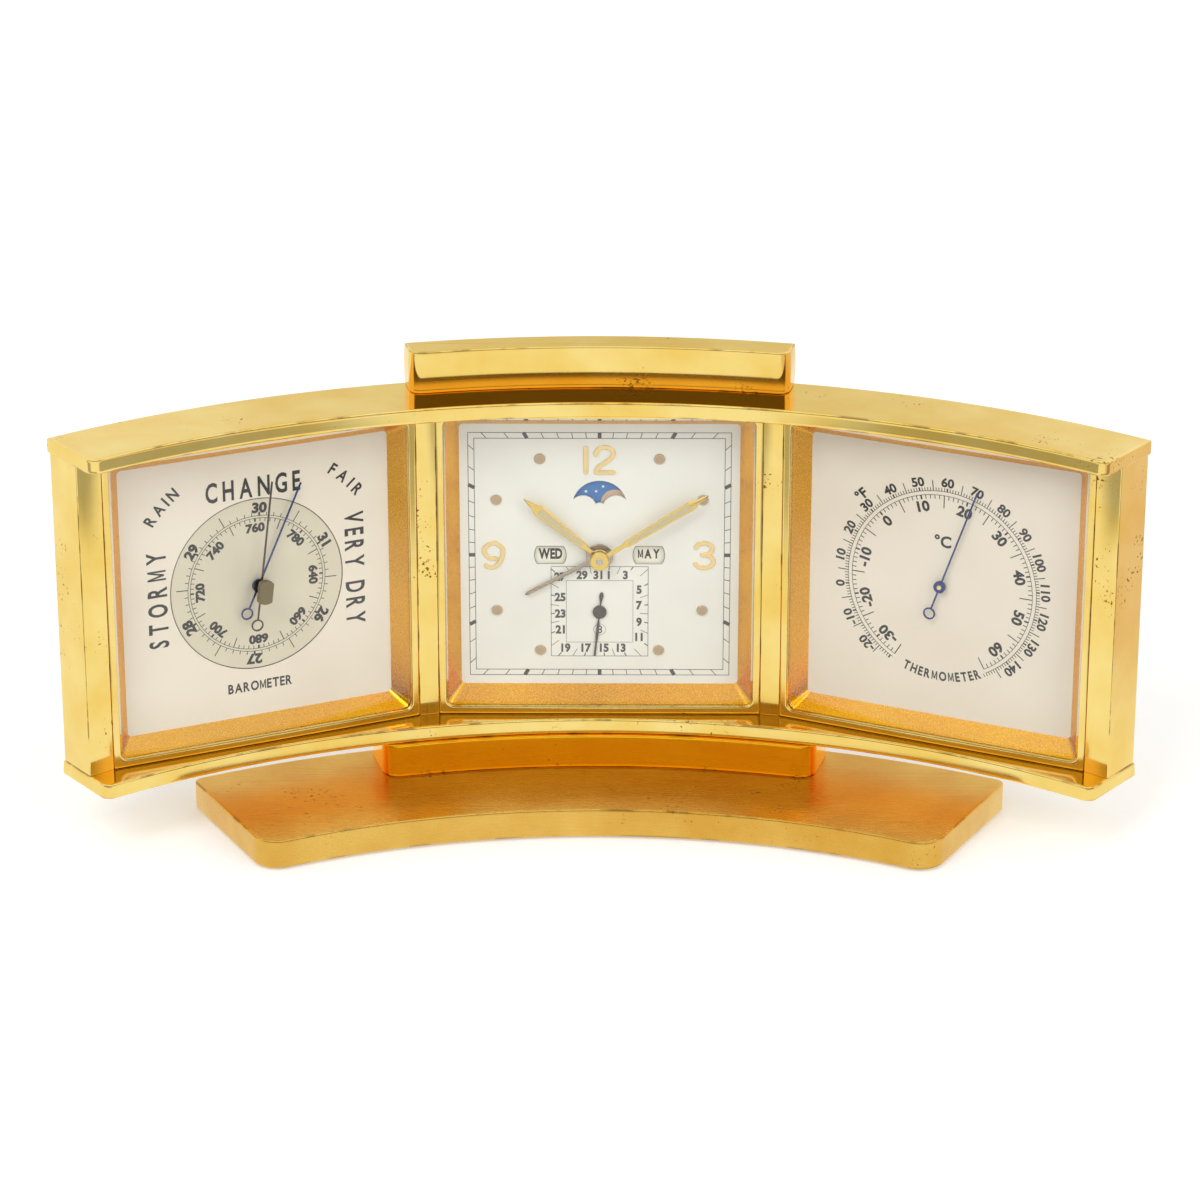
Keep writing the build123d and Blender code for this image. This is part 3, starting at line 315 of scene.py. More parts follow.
def gilt_material(name, marks, roughness, spread, bump, wear=0.6, cover=0.09, on_bow=False,
                  light=GILT, deep=GILT_DEEP):
    """Gilt brass with brush marks, specks of tarnish and worn edges."""
    tree, shader = new_material(name)
    start = tree.use(bow, {})["Vector"] if on_bow else tree.place()
    brushed = tree.use(brush, {"Vector": start, "Across Marks": marks})
    tone = tree.mix(tree.ramp(brushed["Cloud"], 0.35, 0.65), light, deep)
    in_gold = tree.add("ShaderNodeLightPath").outputs["Is Glossy Ray"]
    specks = tree.use(speck, {"Vector": start, "Size": 1100.0, "Cover": cover,
                              "Clean": tree.mix(in_gold, tone, SECOND), "Tarnished": TARNISH})
    window_shade_lines = tree.use(wear_off, {"Vector": start, "Wear": wear, "Bare": BARE,
                                "Gilt": specks["Color"]})
    gloss = tree.ramp(brushed["Marks"], 0.3, 0.7, roughness, roughness + spread)
    tree.feed(shader, {"Metallic": 1.0, "Base Color": window_shade_lines["Color"],
                       "Roughness": tree.math("MULTIPLY_ADD", specks["Mask"], 0.25, gloss),
                       "Normal": tree.bump(brushed["Marks"], bump)})


gilt_material("gilt_polished", (25.0, 2600.0, 2600.0), 0.06, 0.05, 1.2e-6, on_bow=True)
gilt_material("gilt_upright", (2600.0, 2600.0, 25.0), 0.07, 0.06, 1.2e-6, cover=0.11)
gilt_material("gilt_brushed", (30.0, 2200.0, 2200.0), 0.2, 0.16, 5e-6,
              light=(0.82, 0.51, 0.11, 1), deep=(0.72, 0.39, 0.06, 1))
# The pedestal's deeper orange copy of the gilt is painted shade: the pedestal stands in the shadow
# of the rails above it.
gilt_material("gilt_shade", (30.0, 2200.0, 2200.0), 0.14, 0.1, 2e-6, 0.3, 0.05, on_bow=True,
              light=(0.99, 0.54, 0.02, 1), deep=(0.97, 0.48, 0.015, 1))
gilt_material("gilt_frame", (900.0, 900.0, 900.0), 0.13, 0.04, 4e-7, 0.2, 0.06)
gilt_material("gilt_works", (1200.0, 1200.0, 1200.0), 0.24, 0.1, 2e-6, 0.3)
print("gilt finishes:", list(finishes))

# %% [markdown]
# ## Glass, felt, paint and ink
#
# The glass is real refracting glass, so its bevel bends the picture at the
# rim as in the photograph. For rays of light and shadow it is simply clear,
# because a dial under refracting glass would otherwise stay dark. Dials are
# painted metal: nearly flat, but with a fine grain and a few faint stains,
# which keeps a large plain face from looking like paper.

# %% Glass and plain finishes
def plain_material(name, colour, roughness, metallic=0.0, grain=0.0, scale=800.0, spot=None):
    """Finish with one colour, a slight cloud of a second one, and a fine grain."""
    colour, spot = [paint(c) if isinstance(c, str) else c for c in (colour, spot)]
    tree, shader = new_material(name)
    start = tree.place()
    cloud = tree.ramp(tree.noise(start, 35.0, 4.0), 0.3, 0.7)
    darker = tuple(c * 0.90 for c in colour[:3]) + (1.0,)
    fine = tree.noise(start, scale, 3.0)
    gloss = tree.ramp(fine, 0.3, 0.7, roughness * 0.85, min(1.0, roughness * 1.15))
    tree.feed(shader, {"Metallic": metallic, "Roughness": gloss,
                       "Base Color": tree.mix(cloud, colour, spot or darker)})
    if grain:
        tree.feed(shader, {"Normal": tree.bump(fine, grain)})


# Name: colour, roughness, metallic, depth and scale of the grain, second colour
PLAIN = {
    "clock_paint": ("#F2F0E8", 0.5, 0.0, 4e-6, 1500.0),
    "side_paint": ("#EEE3D3", 0.5, 0.0, 4e-6, 1500.0, "#E8DBCA"),
    "scale_paint": ("#DDD3BC", 0.4, 0.0, 3e-6, 1500.0, "#D2C8B0"),
    "ink": ("#1B1712", 0.6, 0.0, 2e-6, 3000.0),
    "ink_grey": ("#4A4842", 0.6, 0.0, 2e-6, 3000.0),
    "lume": ("#B99F80", 0.75, 0.0, 8e-6, 2500.0),
    "lume_hand": ("#CBBC90", 0.75, 0.0, 8e-6, 2500.0),
    "dot_edge": ((0.62, 0.46, 0.27, 1), 0.3, 1.0, 2e-6, 2500.0),
    "applied_gold": ((0.96, 0.71, 0.31, 1), 0.2, 1.0, 2e-6, 2500.0),
    "hand_gold": ((0.90, 0.63, 0.15, 1), 0.22, 1.0, 2e-6, 2500.0),
    "hand_grey": ((0.50, 0.43, 0.34, 1), 0.3, 1.0, 2e-6, 2500.0),
    "hand_dark": ((0.11, 0.095, 0.075, 1), 0.32, 0.85, 2e-6, 2500.0),
    "window_shade_brown": ("#8C8272", 0.6, 0.0, 2e-6, 3000.0),
    "hand_brown": ("#4A2E1E", 0.35, 0.5, 2e-6, 2500.0),
    "blued_steel": ((0.018, 0.052, 0.20, 1), 0.25, 1.0, 2e-6, 2500.0),
    "nickel": ((0.27, 0.23, 0.14, 1), 0.3, 1.0, 3e-6, 2500.0),
    "steel": ((0.56, 0.56, 0.55, 1), 0.28, 1.0, 3e-6, 2500.0),
    "disc_paint": ("#F4EEDD", 0.5, 0.0, 2e-6, 2000.0),
    "moon_blue": ("#2F66A8", 0.45, 0.0, 2e-6, 2000.0, "#3D77B5"),
    "moon_tan": ("#C9A98C", 0.5, 0.0, 4e-6, 2000.0),
    "star_white": ("#E6EDF2", 0.5),
    "gilt_wall": ((0.92, 0.47, 0.015, 1), 0.26, 1.0, 3e-6, 1800.0, (0.85, 0.39, 0.01, 1)),
    "works_brass": ((0.80, 0.62, 0.27, 1), 0.28, 1.0, 2e-6, 2500.0),
    "felt_green": ("#1E3A28", 0.95, 0.0, 9e-5, 4000.0),
}
for name, settings in PLAIN.items():
    plain_material(name, *settings)

tree, shader = new_material("crystal")
tree.feed(shader, {"Base Color": (0.985, 0.99, 0.985, 1.0), "Roughness": 0.0, "IOR": 1.5,
                   "Transmission Weight": 1.0})
path = tree.add("ShaderNodeLightPath").outputs
light_ray = tree.math("MAXIMUM", path["Is Shadow Ray"], path["Is Diffuse Ray"])
clear = tree.out("ShaderNodeBsdfTransparent", {"Color": (0.97, 0.98, 0.97, 1.0)})
tree.surface(tree.either(light_ray, shader.outputs[0], clear))
print("materials:", len(finishes))

# %% [markdown]
# ## From outlines to solid pieces
#
# Most pieces are made by joining closed loops of the same number of points,
# as a boat builder joins frames. Joined from back to front and capped they
# give a plate, and joined round in a circle they give a frame with an
# opening. A number for each loop says how far it lies on a rounded rim. It is
# kept in the mesh attribute `edge`, which the worn gilding reads. Scale marks
# and rings of copies pass through geometry trees, which come further down.

# %% Making a piece
def through_trees(mesh, steps):
    """A plain mesh made from a mesh by geometry trees: (tree, identifiers, values)."""
    carrier = in_scene("tree_carrier", mesh)
    for tree, names, values in steps:
        modifier = carrier.modifiers.new(tree.name, "NODES")
        modifier.node_group = tree
        for label, setting in values.items():
            modifier[names[label]] = setting
    graph = bpy.context.evaluated_depsgraph_get()
    result = bpy.data.meshes.new_from_object(carrier.evaluated_get(graph))
    carrier.modifiers.clear()
    bpy.data.objects.remove(carrier)
    return result


def make_piece(name, part, place, finish, body="case", stands_for=(),
               edge=None, smooth=35.0, trees=(), weld=0.0):
    """A piece from points and faces in millimetres, placed and riding on its body."""
    mesh = bpy.data.meshes.new(name)
    mesh.from_pydata([tuple(p) for p in part[0]], [], part[1])
    if edge is not None:
        mesh.attributes.new("edge", "FLOAT", "POINT").data.foreach_set("value", edge)
    if trees:
        mesh = through_trees(mesh, trees)
        mesh.name = name
    mesh.transform(place)
    shaped = bmesh.new()
    shaped.from_mesh(mesh)
    if weld:
        bmesh.ops.remove_doubles(shaped, verts=shaped.verts, dist=weld)
    bmesh.ops.recalc_face_normals(shaped, faces=shaped.faces)
    shaped.to_mesh(mesh)
    shaped.free()
    if not mesh.materials:
        mesh.materials.append(finishes[finish])
    mesh.shade_smooth()
    mesh.set_sharp_from_angle(angle=radians(smooth))
    piece = in_scene(name, mesh)
    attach(piece, body)
    if stands_for:
        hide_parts(*stands_for)
    return piece


# %% Joining loops
def join_loops(loops, ring=False):
    """Points and faces between closed loops. A ring closes on itself, a plate is capped."""
    count = len(loops[0])
    points = [p for loop in loops for p in loop]
    faces = []
    for a in range(len(loops) if ring else len(loops) - 1):
        b = (a + 1) % len(loops)
        for i in range(count):
            j = (i + 1) % count
            faces.append((a * count + i, a * count + j, b * count + j, b * count + i))
    if not ring:
        faces.append(tuple(reversed(range(count))))
        faces.append(tuple(range(len(points) - count, len(points))))
    return points, faces


def together(*parts):
    """Several parts as one."""
    points, faces = [], []
    for more_points, more_faces in parts:
        faces += [tuple(i + len(points) for i in face) for face in more_faces]
        points += list(more_points)
    return points, faces


def placed(part, across=0.0, up=0.0, clockwise=0.0, forward=0.0):
    """A flat part turned clockwise on a face, then moved on it."""
    c, s = cos(radians(clockwise)), sin(radians(clockwise))
    points = [(across + x * c + y * s, up - x * s + y * c, z + forward) for x, y, z in part[0]]
    return points, part[1]


def at(outline, height):
    """A flat outline at one height."""
    return [(x, y, height) for x, y in outline]


def shrunk(outline, amount):
    """A counterclockwise outline moved inwards, or outwards if the amount is negative."""
    moved = []
    for i, (x, y) in enumerate(outline):
        x0, y0 = outline[i - 1]
        x1, y1 = outline[(i + 1) % len(outline)]
        before = Vector((x - x0, y - y0)).normalized()
        after = Vector((x1 - x, y1 - y)).normalized()
        inward = Vector((-before.y - after.y, before.x + after.x))
        half = max(inward.length / 2, 0.35)
        inward = inward.normalized() * amount / half
        moved.append((x + inward.x, y + inward.y))
    return moved


def circle(radius, count):
    """Points round a circle, counterclockwise."""
    turns = [2 * pi * k / count for k in range(count)]
    return [(radius * cos(a), radius * sin(a)) for a in turns]


def arc(radius, swing, steps, across=0.0):
    """Points of an arc at the right of its centre, from below to above."""
    turns = [swing * (k / steps - 1) for k in range(2 * steps + 1)]
    return [(across + radius * cos(a), radius * sin(a)) for a in turns]


def rounded_box(width, height, radius, steps=8):
    """Points round a rectangle with rounded corners, counterclockwise."""
    points = []
    for cx, cy, start in ((1, 1, 0), (-1, 1, 90), (-1, -1, 180), (1, -1, 270)):
        x, y = cx * (width / 2 - radius), cy * (height / 2 - radius)
        for k in range(steps + 1):
            a = radians(start + 90 * k / steps)
            points.append((x + radius * cos(a), y + radius * sin(a)))
    return points


def slab(outline, low, high, rim=0.3, wide=0.5, crown=0.0, lean=0.0):
    """Plate with rounded rims, sides that may bulge or lean in, and its rim values."""
    def loop(inset, height):
        return at(shrunk(outline, inset + lean * (height - low) / (high - low)), height)

    loops, values = [], []
    rounding = [(rim * (1 - sin(radians(a))), rim * (1 - cos(radians(a)))) for a in (0, 30, 60, 90)]
    steps = [(rim + wide, 0.0, 0.0)]
    steps += [(*bend, value) for bend, value in zip(rounding, (0.2, 1.0, 1.0, 0.2))]
    steps.append((0.0, rim + wide, 0.0))
    for inset, rise, value in steps:
        loops.append(loop(inset, low + rise))
        values.append(value)
    if crown:
        for share in [k / 12 - 1 for k in range(1, 24)]:
            reach = (high - low) / 2 - rim - wide
            loops.append(loop(crown * (share ** 2 - 1), (high + low) / 2 + share * reach))
            values.append(0.0)
    for inset, rise, value in reversed(steps):
        loops.append(loop(inset, high - rise))
        values.append(value)
    edge = [value for value in values for _ in outline]
    return join_loops(loops), edge


print("mesh helpers ready")

# %% [markdown]
# ## The stand
#
# Base, pedestal, rails and crest are plates cut from thick brass along arcs
# about one centre, with their front corners rounded. Each is drawn from
# above as one outline of many short steps, so that the polished sides reflect
# smoothly. Its long edges get a small rounded rim, which is what catches the
# light on the real one. A Bevel modifier could do this too, but here the rim
# also has to be known as a rim, for its wear.

# %% Curved plates
def bow_outline(front, back, half, corner, back_corner=0.0, steps=72):
    """Outline from above of a plate between two arcs of the bow."""
    def spot(radius, angle, start=(0.0, BOW_Y)):
        return (start[0] + radius * sin(angle), start[1] + radius * cos(angle))

    half = radians(half)
    right = []
    swing = half - asin(corner / (front + corner))
    right += [spot(front, swing * k / steps) for k in range(steps)]
    turn, middle = half - pi / 2 - swing, spot(front + corner, swing)
    right += [spot(corner, swing + pi + turn * k / 12, middle) for k in range(13)]
    if back_corner:
        swing = half - asin(back_corner / (back - back_corner))
        middle = spot(back - back_corner, swing)
        turn = swing - half - pi / 2
        right += [spot(back_corner, half + pi / 2 + turn * k / 12, middle) for k in range(12)]
    else:
        swing = half
    right += [spot(back, swing * (1 - k / steps)) for k in range(steps)]
    left = [(-x, y) for x, y in reversed(right[1:])]
    return right + [spot(back, 0)] + left


BOW_HALF = 37.609
LOWER_TOP, UPPER_FOOT = 21.7, 107.5
POLISHED, BRUSHED = "gilt_brass_polished", "gilt_brass_brushed"
# Plate: outline, underside, top, rim, finish, slot
STAND = {
    "base_plate": ((179.8, 225.8, 28.583, 7.0, 2.5), 0.8, 8.6, 0.5, "gilt_brushed", BRUSHED),
    "pedestal": ((206.8, 223.8, 15.894, 4.5, 2.25), 8.6, 17.7, 0.3, "gilt_shade", BRUSHED),
    "lower_rail": ((208.0, 229.4, BOW_HALF, 3.0), 17.7, LOWER_TOP, 0.45, "gilt_polished",
                   POLISHED),
    "upper_rail": ((208.0, 229.4, BOW_HALF, 3.0), UPPER_FOOT, 111.5, 0.45, "gilt_polished",
                   POLISHED),
    "crest": ((219.5, 228.2, 12.896, 3.2), 111.5, 122.9, 0.4, "gilt_polished", POLISHED),
}
# The crest bulges a little and the lower rail leans, so both mirror as the real ones do
SIDES = {"crest": {"crown": 0.18}, "lower_rail": {"lean": 0.2}}
for name, (shape, low, high, rim, finish, slot) in STAND.items():
    plate, edge = slab(bow_outline(*shape), low, high, rim, **SIDES.get(name, {}))
    make_piece(f"{name}_brass", plate, ROOM, finish, stands_for=[name], edge=edge)
felt, edge = slab(bow_outline(182.3, 223.3, 27.786, 4.5), 0.0, 0.8, 0.15, 0.2)
make_piece("base_felt_pad", felt, ROOM, "felt_green", stands_for=["base_felt"])
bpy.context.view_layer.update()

# %% [markdown]
# ## Pillars
#
# The upright pillars have flat faces that meet at crisp edges. Their outline
# is drawn from above. Each upright edge is rounded a little, so that a fine
# bright line and a fine dark gap show between pillar and frame.

# %% Pillars between and beside the faces
HALF_BEZEL = 42.75
PILLAR_DEPTH = 12.975


def on_face(angle, across, depth):
    """Point seen from above, across a face and behind its front."""
    s, c = sin(radians(angle)), cos(radians(angle))
    reach = FACE_RADIUS + depth
    return (reach * s + across * c, BOW_Y + reach * c - across * s)


def on_bow(radius, angle):
    """Point seen from above, at an angle from straight back towards the right."""
    return (radius * sin(radians(angle)), BOW_Y + radius * cos(radians(angle)))


def rounded_corners(points, radius, steps=5):
    """Counterclockwise outline with every corner rounded."""
    rounded = []
    for i, point in enumerate(points):
        here = Vector(point)
        before = (Vector(points[i - 1]) - here).normalized()
        after = (Vector(points[(i + 1) % len(points)]) - here).normalized()
        half = before.angle(after) / 2
        middle = here + (before + after).normalized() * radius / sin(half)
        first = here + before * radius * cos(half) / sin(half) - middle
        last = here + after * radius * cos(half) / sin(half) - middle
        for k in range(steps + 1):
            spoke = first.lerp(last, k / steps).normalized() * radius
            rounded.append((middle.x + spoke.x, middle.y + spoke.y))
    return rounded


front_end, back_end, end_angle = 216.268, 229.0, 37.509
for side, word in ((-1, "left"), (1, "right")):
    shapes = {
        "mullion": [on_face(0, side * HALF_BEZEL, 0),
                    on_face(side * WING, -side * HALF_BEZEL, 0),
                    on_face(side * WING, -side * HALF_BEZEL, PILLAR_DEPTH),
                    on_face(0, side * HALF_BEZEL, PILLAR_DEPTH)],
        "end_pillar": [on_face(side * WING, side * HALF_BEZEL, 0),
                       on_bow(front_end, side * end_angle),
                       on_bow(back_end, side * end_angle),
                       on_face(side * WING, side * HALF_BEZEL, PILLAR_DEPTH)],
    }
    for kind, points in shapes.items():
        points = points if side > 0 else points[::-1]
        loops = rounded_corners(points, 0.3)
        pillar, _ = slab(loops, LOWER_TOP, UPPER_FOOT, 0.1, 0.1)
        steps = len(loops) // 4
        edge = [1.0 if i % steps in (1, 2, 3, 4) else 0.0 for i in range(len(pillar[0]))]
        make_piece(f"{kind}_{word}_brass", pillar, ROOM, "gilt_upright",
                   stands_for=[f"{kind}_{word}"], edge=edge)
print("pillars: 4")

# %% [markdown]
# ## Frames, glasses and sloping walls
#
# Each instrument is a square drum. From the front inwards come a flat frame,
# a glass with a ground bevel, a sloping wall of matt gold, and the dial. All
# four are rounded squares joined loop by loop. The profile below is a list of
# steps: how far in from the outside, how round the corner, how far forward.

# %% Square frames from a profile
def square_ring(width, height, profile):
    """Closed frame from a list of (inset, corner, forward, rim value)."""
    loops = [at(rounded_box(width - 2 * inset, height - 2 * inset, corner), forward)
             for inset, corner, forward, _ in profile]
    edge = [value for *_, value in profile for _ in loops[0]]
    return join_loops(loops, ring=True), edge


BEZEL, GLASS, DRUM = (85.4, 85.7), (83.4, 83.7), (83.0, 83.3)
BEZEL_PROFILE = [
    (0.00, 0.30, -4.00, 0), (0.00, 0.30, -0.80, 0), (0.00, 0.30, -0.22, 0.8),
    (0.07, 0.30, -0.06, 1), (0.22, 0.30, 0.00, 0.8), (0.50, 0.50, 0.00, 0),
    (1.55, 1.85, 0.00, 0), (1.74, 2.04, 0.00, 0.6), (1.85, 2.15, -0.05, 0.8),
    (1.90, 2.20, -0.16, 0.6), (1.90, 2.20, -0.40, 0), (1.90, 2.20, -1.00, 0),
    (0.90, 1.20, -1.00, 0), (0.90, 1.20, -4.00, 0),
]
GLASS_PROFILE = [
    (0.00, 1.20, -1.95), (0.00, 1.20, -1.05), (0.05, 1.20, -1.00), (0.90, 2.12, -1.00),
    (0.93, 2.08, -0.97), (1.40, 1.72, -0.44), (1.45, 1.68, -0.40),
]
for name, place in FACES.items():
    ring, edge = square_ring(*BEZEL, BEZEL_PROFILE)
    make_piece(f"{name}_frame", ring, place, "gilt_frame", stands_for=[f"{name}_bezel"],
               edge=edge)

    rim = [at(rounded_box(GLASS[0] - 2 * i, GLASS[1] - 2 * i, r), z)
           for i, r, z in GLASS_PROFILE]
    back = at(rounded_box(83.3, 83.6, 1.15), -2.0)
    if name == "barometer":
        hole = [at(circle(0.76, len(back)), z) for z in (-0.4, -2.0)]
        glass = join_loops([back, *rim, *hole], ring=True)
    else:
        glass = join_loops([back, *rim])
    make_piece(f"{name}_crystal", glass, place, "crystal", stands_for=[f"{name}_glass"],
               smooth=4.0)

    depth = CLOCK_DEPTH if name == "clock" else SIDE_DEPTH
    wall = [
        (0.0, 1.20, -2.00, 0), (1.1, 2.20, -2.00, 0), (1.15, 2.2, -2.06, 0),
        (4.72, 1.15, 0.06 - depth, 0), (4.78, 1.10, -depth, 0),
        (1.5, 2.80, -depth, 0), (1.5, 2.80, -4.0, 0), (0.0, 1.20, -4.0, 0),
    ]
    ring, edge = square_ring(*GLASS, wall)
    make_piece(f"{name}_sloping_wall", ring, place, "gilt_wall", stands_for=[f"{name}_rehaut"],
               edge=edge)

    box = [
        (0.0, 4.0, -4.0, 0), (0.0, 4.0, -24.8, 0), (0.06, 3.94, -24.94, 1),
        (0.2, 3.8, -25.0, 1), (1.2, 2.8, -25.0, 0), (1.2, 2.8, -4.0, 0),
    ]
    ring, edge = square_ring(*DRUM, box)
    make_piece(f"{name}_drum", ring, place, "gilt_works", stands_for=[f"{name}_housing"],
               edge=edge)
print("faces:", list(FACES))

# %% [markdown]
# ## Finishes on the engineering parts
#
# Dials, discs, wheels, keys and covers already have their right form in the
# engineering model, so they only get a finish. The record names a slot for
# each node, and one table turns slot names into materials.

# %% Finishes by slot
SLOT_FINISH = {
    POLISHED: "gilt_upright", BRUSHED: "gilt_brushed",
    "felt": "felt_green", "glass": "crystal", "clock_dial_white": "clock_paint",
    "side_dial_silvered": "side_paint", "brass_lacquered": "gilt_works", "hand_gilt": "hand_gold",
    "hand_grey": "hand_grey", "blued_steel": "blued_steel", "hand_brown": "hand_brown",
    "nickel": "nickel", "calendar_disc": "disc_paint", "moon_blue": "moon_blue",
    "movement_brass": "works_brass", "steel": "steel",
}
for node in frame["record"]["subparts"]:
    finish = finishes[SLOT_FINISH[node["material_slot"]]]
    target = nodes[node["node"]]
    for socket in target.material_slots:
        socket.material = finish
    if not target.material_slots:
        target.data.materials.append(finish)
print("finished", len(nodes), "parts")

# %% [markdown]
# ## Hands of the clock
#
# A hand is a thin blade with bevelled sides. The long hands have a slot
# filled with glowing paint, so each is a gilt blade and a pale inlay on it.
# The alarm hand is a plain bar with a groove. Behind the dial the hour hand
# and the alarm hand end in a pipe with a toothed wheel, which is built here
# too. Every hand is drawn upright, then turned clockwise to the time that it
# shows, and it rides on its own body, so it turns when the works do.

# %% Blades and round parts
def blade(stations, thickness=0.4, bevel=0.16, sink=0.0):
    """Flat hand from (distance, half width) pairs, with bevelled sides."""
    right = [(half, y) for y, half in stations]
    left = [(-half, y) for y, half in reversed(stations) if half > 0.001]
    outline = right + left
    loops = [at(outline, 0.0), at(outline, thickness - bevel),
             at(shrunk(outline, bevel), thickness)]
    if sink:
        loops.append(at(shrunk(outline, bevel + 0.04), thickness - sink))
    return join_loops(loops)


def turned(profile, count=64, ring=False):
    """Round part from (radius, forward) pairs, closed at both ends or round a bore."""
    return join_loops([at(circle(radius, count), forward) for radius, forward in profile], ring)


def washer(inner, outer, low, high, rim=0.08, count=64):
    """Flat ring with softened outer edges."""
    profile = [(inner, low), (outer - rim, low), (outer, low + rim), (outer, high - rim),
               (outer - rim, high), (inner, high)]
    return turned(profile, count, ring=True)


def pipe(inner, outer, low, high, count=48):
    """Pipe or flat ring with sharp edges."""
    return turned(((inner, low), (outer, low), (outer, high), (inner, high)), count, ring=True)


def toothed(teeth, radius, bore, low, high, tooth=0.7):
    """Flat wheel with straight-sided teeth round a bore."""
    marks = ((-0.32, tooth), (-0.16, 0.0), (0.16, 0.0), (0.32, tooth))
    turns = [(radians((k + share) * 360 / teeth), radius - drop)
             for k in range(teeth) for share, drop in marks]
    outline = [(reach * cos(a), reach * sin(a)) for a, reach in turns]
    hole = [(bore * cos(a), bore * sin(a)) for a, _ in turns]
    return join_loops([at(hole, low), at(outline, low), at(outline, high), at(hole, high)], True)


# %% Three hands on one centre
MINUTE_AT, HOUR_AT, ALARM_AT = 57.3, 310.2, 240.9
minute = placed(blade([(1.1, 0.62), (7.6, 0.58), (8.3, 0.8), (9.0, 1.02), (28.6, 1.3),
                       (29.6, 1.15), (30.4, 0.62), (32.4, 0.42), (34.1, 0.05)]),
                clockwise=MINUTE_AT, forward=-4.0)
make_piece("minute_hand_blade", together(minute, washer(0.72, 2.5, -4.0, -2.6, 0.16)),
           FACES["clock"], "hand_gold", "minute_works", ["minute_hand"])
minute_glow = blade([(9.3, 0.4), (10.0, 0.55), (27.6, 0.8), (28.6, 0.5)], 0.06, 0.02)
make_piece("minute_hand_lume", placed(minute_glow, clockwise=MINUTE_AT, forward=-3.6),
           FACES["clock"], "lume_hand", "minute_works")
pin = turned([(0.7, -3.0), (0.9, -2.64), (0.9, -2.5), (0.8, -2.4), (0.3, -2.34)], 32)
make_piece("minute_hand_pin", pin, FACES["clock"], "steel", "minute_works")

hour = placed(blade([(1.1, 0.62), (4.2, 0.6), (5.2, 0.9), (20.4, 1.6), (21.6, 1.45),
                     (22.6, 0.8), (24.6, 0.5), (26.2, 0.05)]), clockwise=HOUR_AT, forward=-5.3)
hour_works = together(washer(0.76, 2.5, -5.7, -4.9, 0.2), pipe(0.76, 1.26, -11.1, -5.6),
                      toothed(30, 5.397, 1.2, -11.1, -10.5))
make_piece("hour_hand_blade", together(hour, hour_works), FACES["clock"], "hand_gold",
           "hour_hand", ["hour_hand"])
hour_glow = blade([(5.9, 0.35), (6.7, 0.55), (19.8, 1.05), (20.8, 0.85)], 0.06, 0.02)
make_piece("hour_hand_lume", placed(hour_glow, clockwise=HOUR_AT, forward=-4.9),
           FACES["clock"], "lume_hand", "hour_hand")

alarm = placed(blade([(1.7, 0.55), (21.9, 0.5), (22.59, 0.1)], 0.4, 0.22, 0.16),
               clockwise=ALARM_AT, forward=-6.6)
alarm_works = together(washer(1.32, 3.6, -6.6, -6.2, 0.1), pipe(1.32, 1.82, -10.1, -6.5),
                       toothed(34, 6.499, 1.7, -10.1, -9.5))
make_piece("alarm_hand_bar", together(alarm, alarm_works), FACES["clock"], "hand_grey",
           "alarm_hand", ["alarm_hand"])
print("hands of the clock made")

# %% [markdown]
# ## Printing a dial
#
# On the real dials the scales are printed in dark enamel ink, which stands a
# hair above the paint. A flat picture could show that too, but it would blur
# close up. So letters and lines are solid here, two hundredths of a millimetre
# thick. Letters come from Blender's own font, with the weight and width given
# for each text. Words round a scale are bent about its centre.

# %% Letters and lines of ink
INK = 0.02


def letters(text, height, wide=1.0, weight=0.02):
    """Raised text, centred on its own middle, with capitals of the given height."""
    curve = bpy.data.curves.new("letters", "FONT")
    curve.body, curve.resolution_u = text, 3
    curve.offset, curve.extrude = weight, 0.5
    carrier = bpy.data.objects.new("letters", curve)
    mesh = bpy.data.meshes.new_from_object(carrier)
    spread = [v.co.x for v in mesh.vertices]
    middle, scale = (min(spread) + max(spread)) / 2, height / CAPITAL
    points = [((v.co.x - middle) * scale * wide, (v.co.y - CAPITAL / 2) * scale,
               (v.co.z + 0.5) * INK) for v in mesh.vertices]
    faces = [tuple(p.vertices) for p in mesh.polygons]
    bpy.data.objects.remove(carrier)
    bpy.data.curves.remove(curve)
    bpy.data.meshes.remove(mesh)
    return points, faces


CAPITAL = 1.0
CAPITAL = max(y for _, y, _ in letters("H", 1.0, weight=0.0)[0]) + 0.5


def bent(part, radius, middle, feet_in=True):
    """Text bent round the centre, its middle at a clockwise angle from the top."""
    way = 1 if feet_in else -1
    points = []
    for x, y, z in part[0]:
        angle, reach = radians(middle) + way * x / radius, radius + way * y
        points.append((reach * sin(angle), reach * cos(angle), z))
    return points, part[1]


def line_loop(outline, width):
    """Line of even width along a closed outline."""
    loops = [(-width / 2, 0.0), (width / 2, 0.0), (width / 2, INK), (-width / 2, INK)]
    return join_loops([at(shrunk(outline, side), z) for side, z in loops], ring=True)


def square(half):
    """Corners of a square, counterclockwise."""
    return [(half, half), (-half, half), (-half, -half), (half, -half)]


def letter_m(height, wide, weight):
    """The letter M of even strokes, which the font's own one loses when it is widened."""
    half, bar, foot = 0.43, 0.115 + 1.6 * weight, 0.10
    corners = [(-half, 0), (-half + bar, 0), (-half + bar, 0.70), (-0.5 * bar, foot),
               (0.5 * bar, foot), (half - bar, 0.70), (half - bar, 0), (half, 0), (half, 1),
               (half - 1.1 * bar, 1), (0, foot + 0.24), (1.1 * bar - half, 1), (-half, 1)]
    outline = [(x * height * wide, (y - 0.5) * height) for x, y in corners]
    return join_loops([at(outline, 0.0), at(outline, INK)])


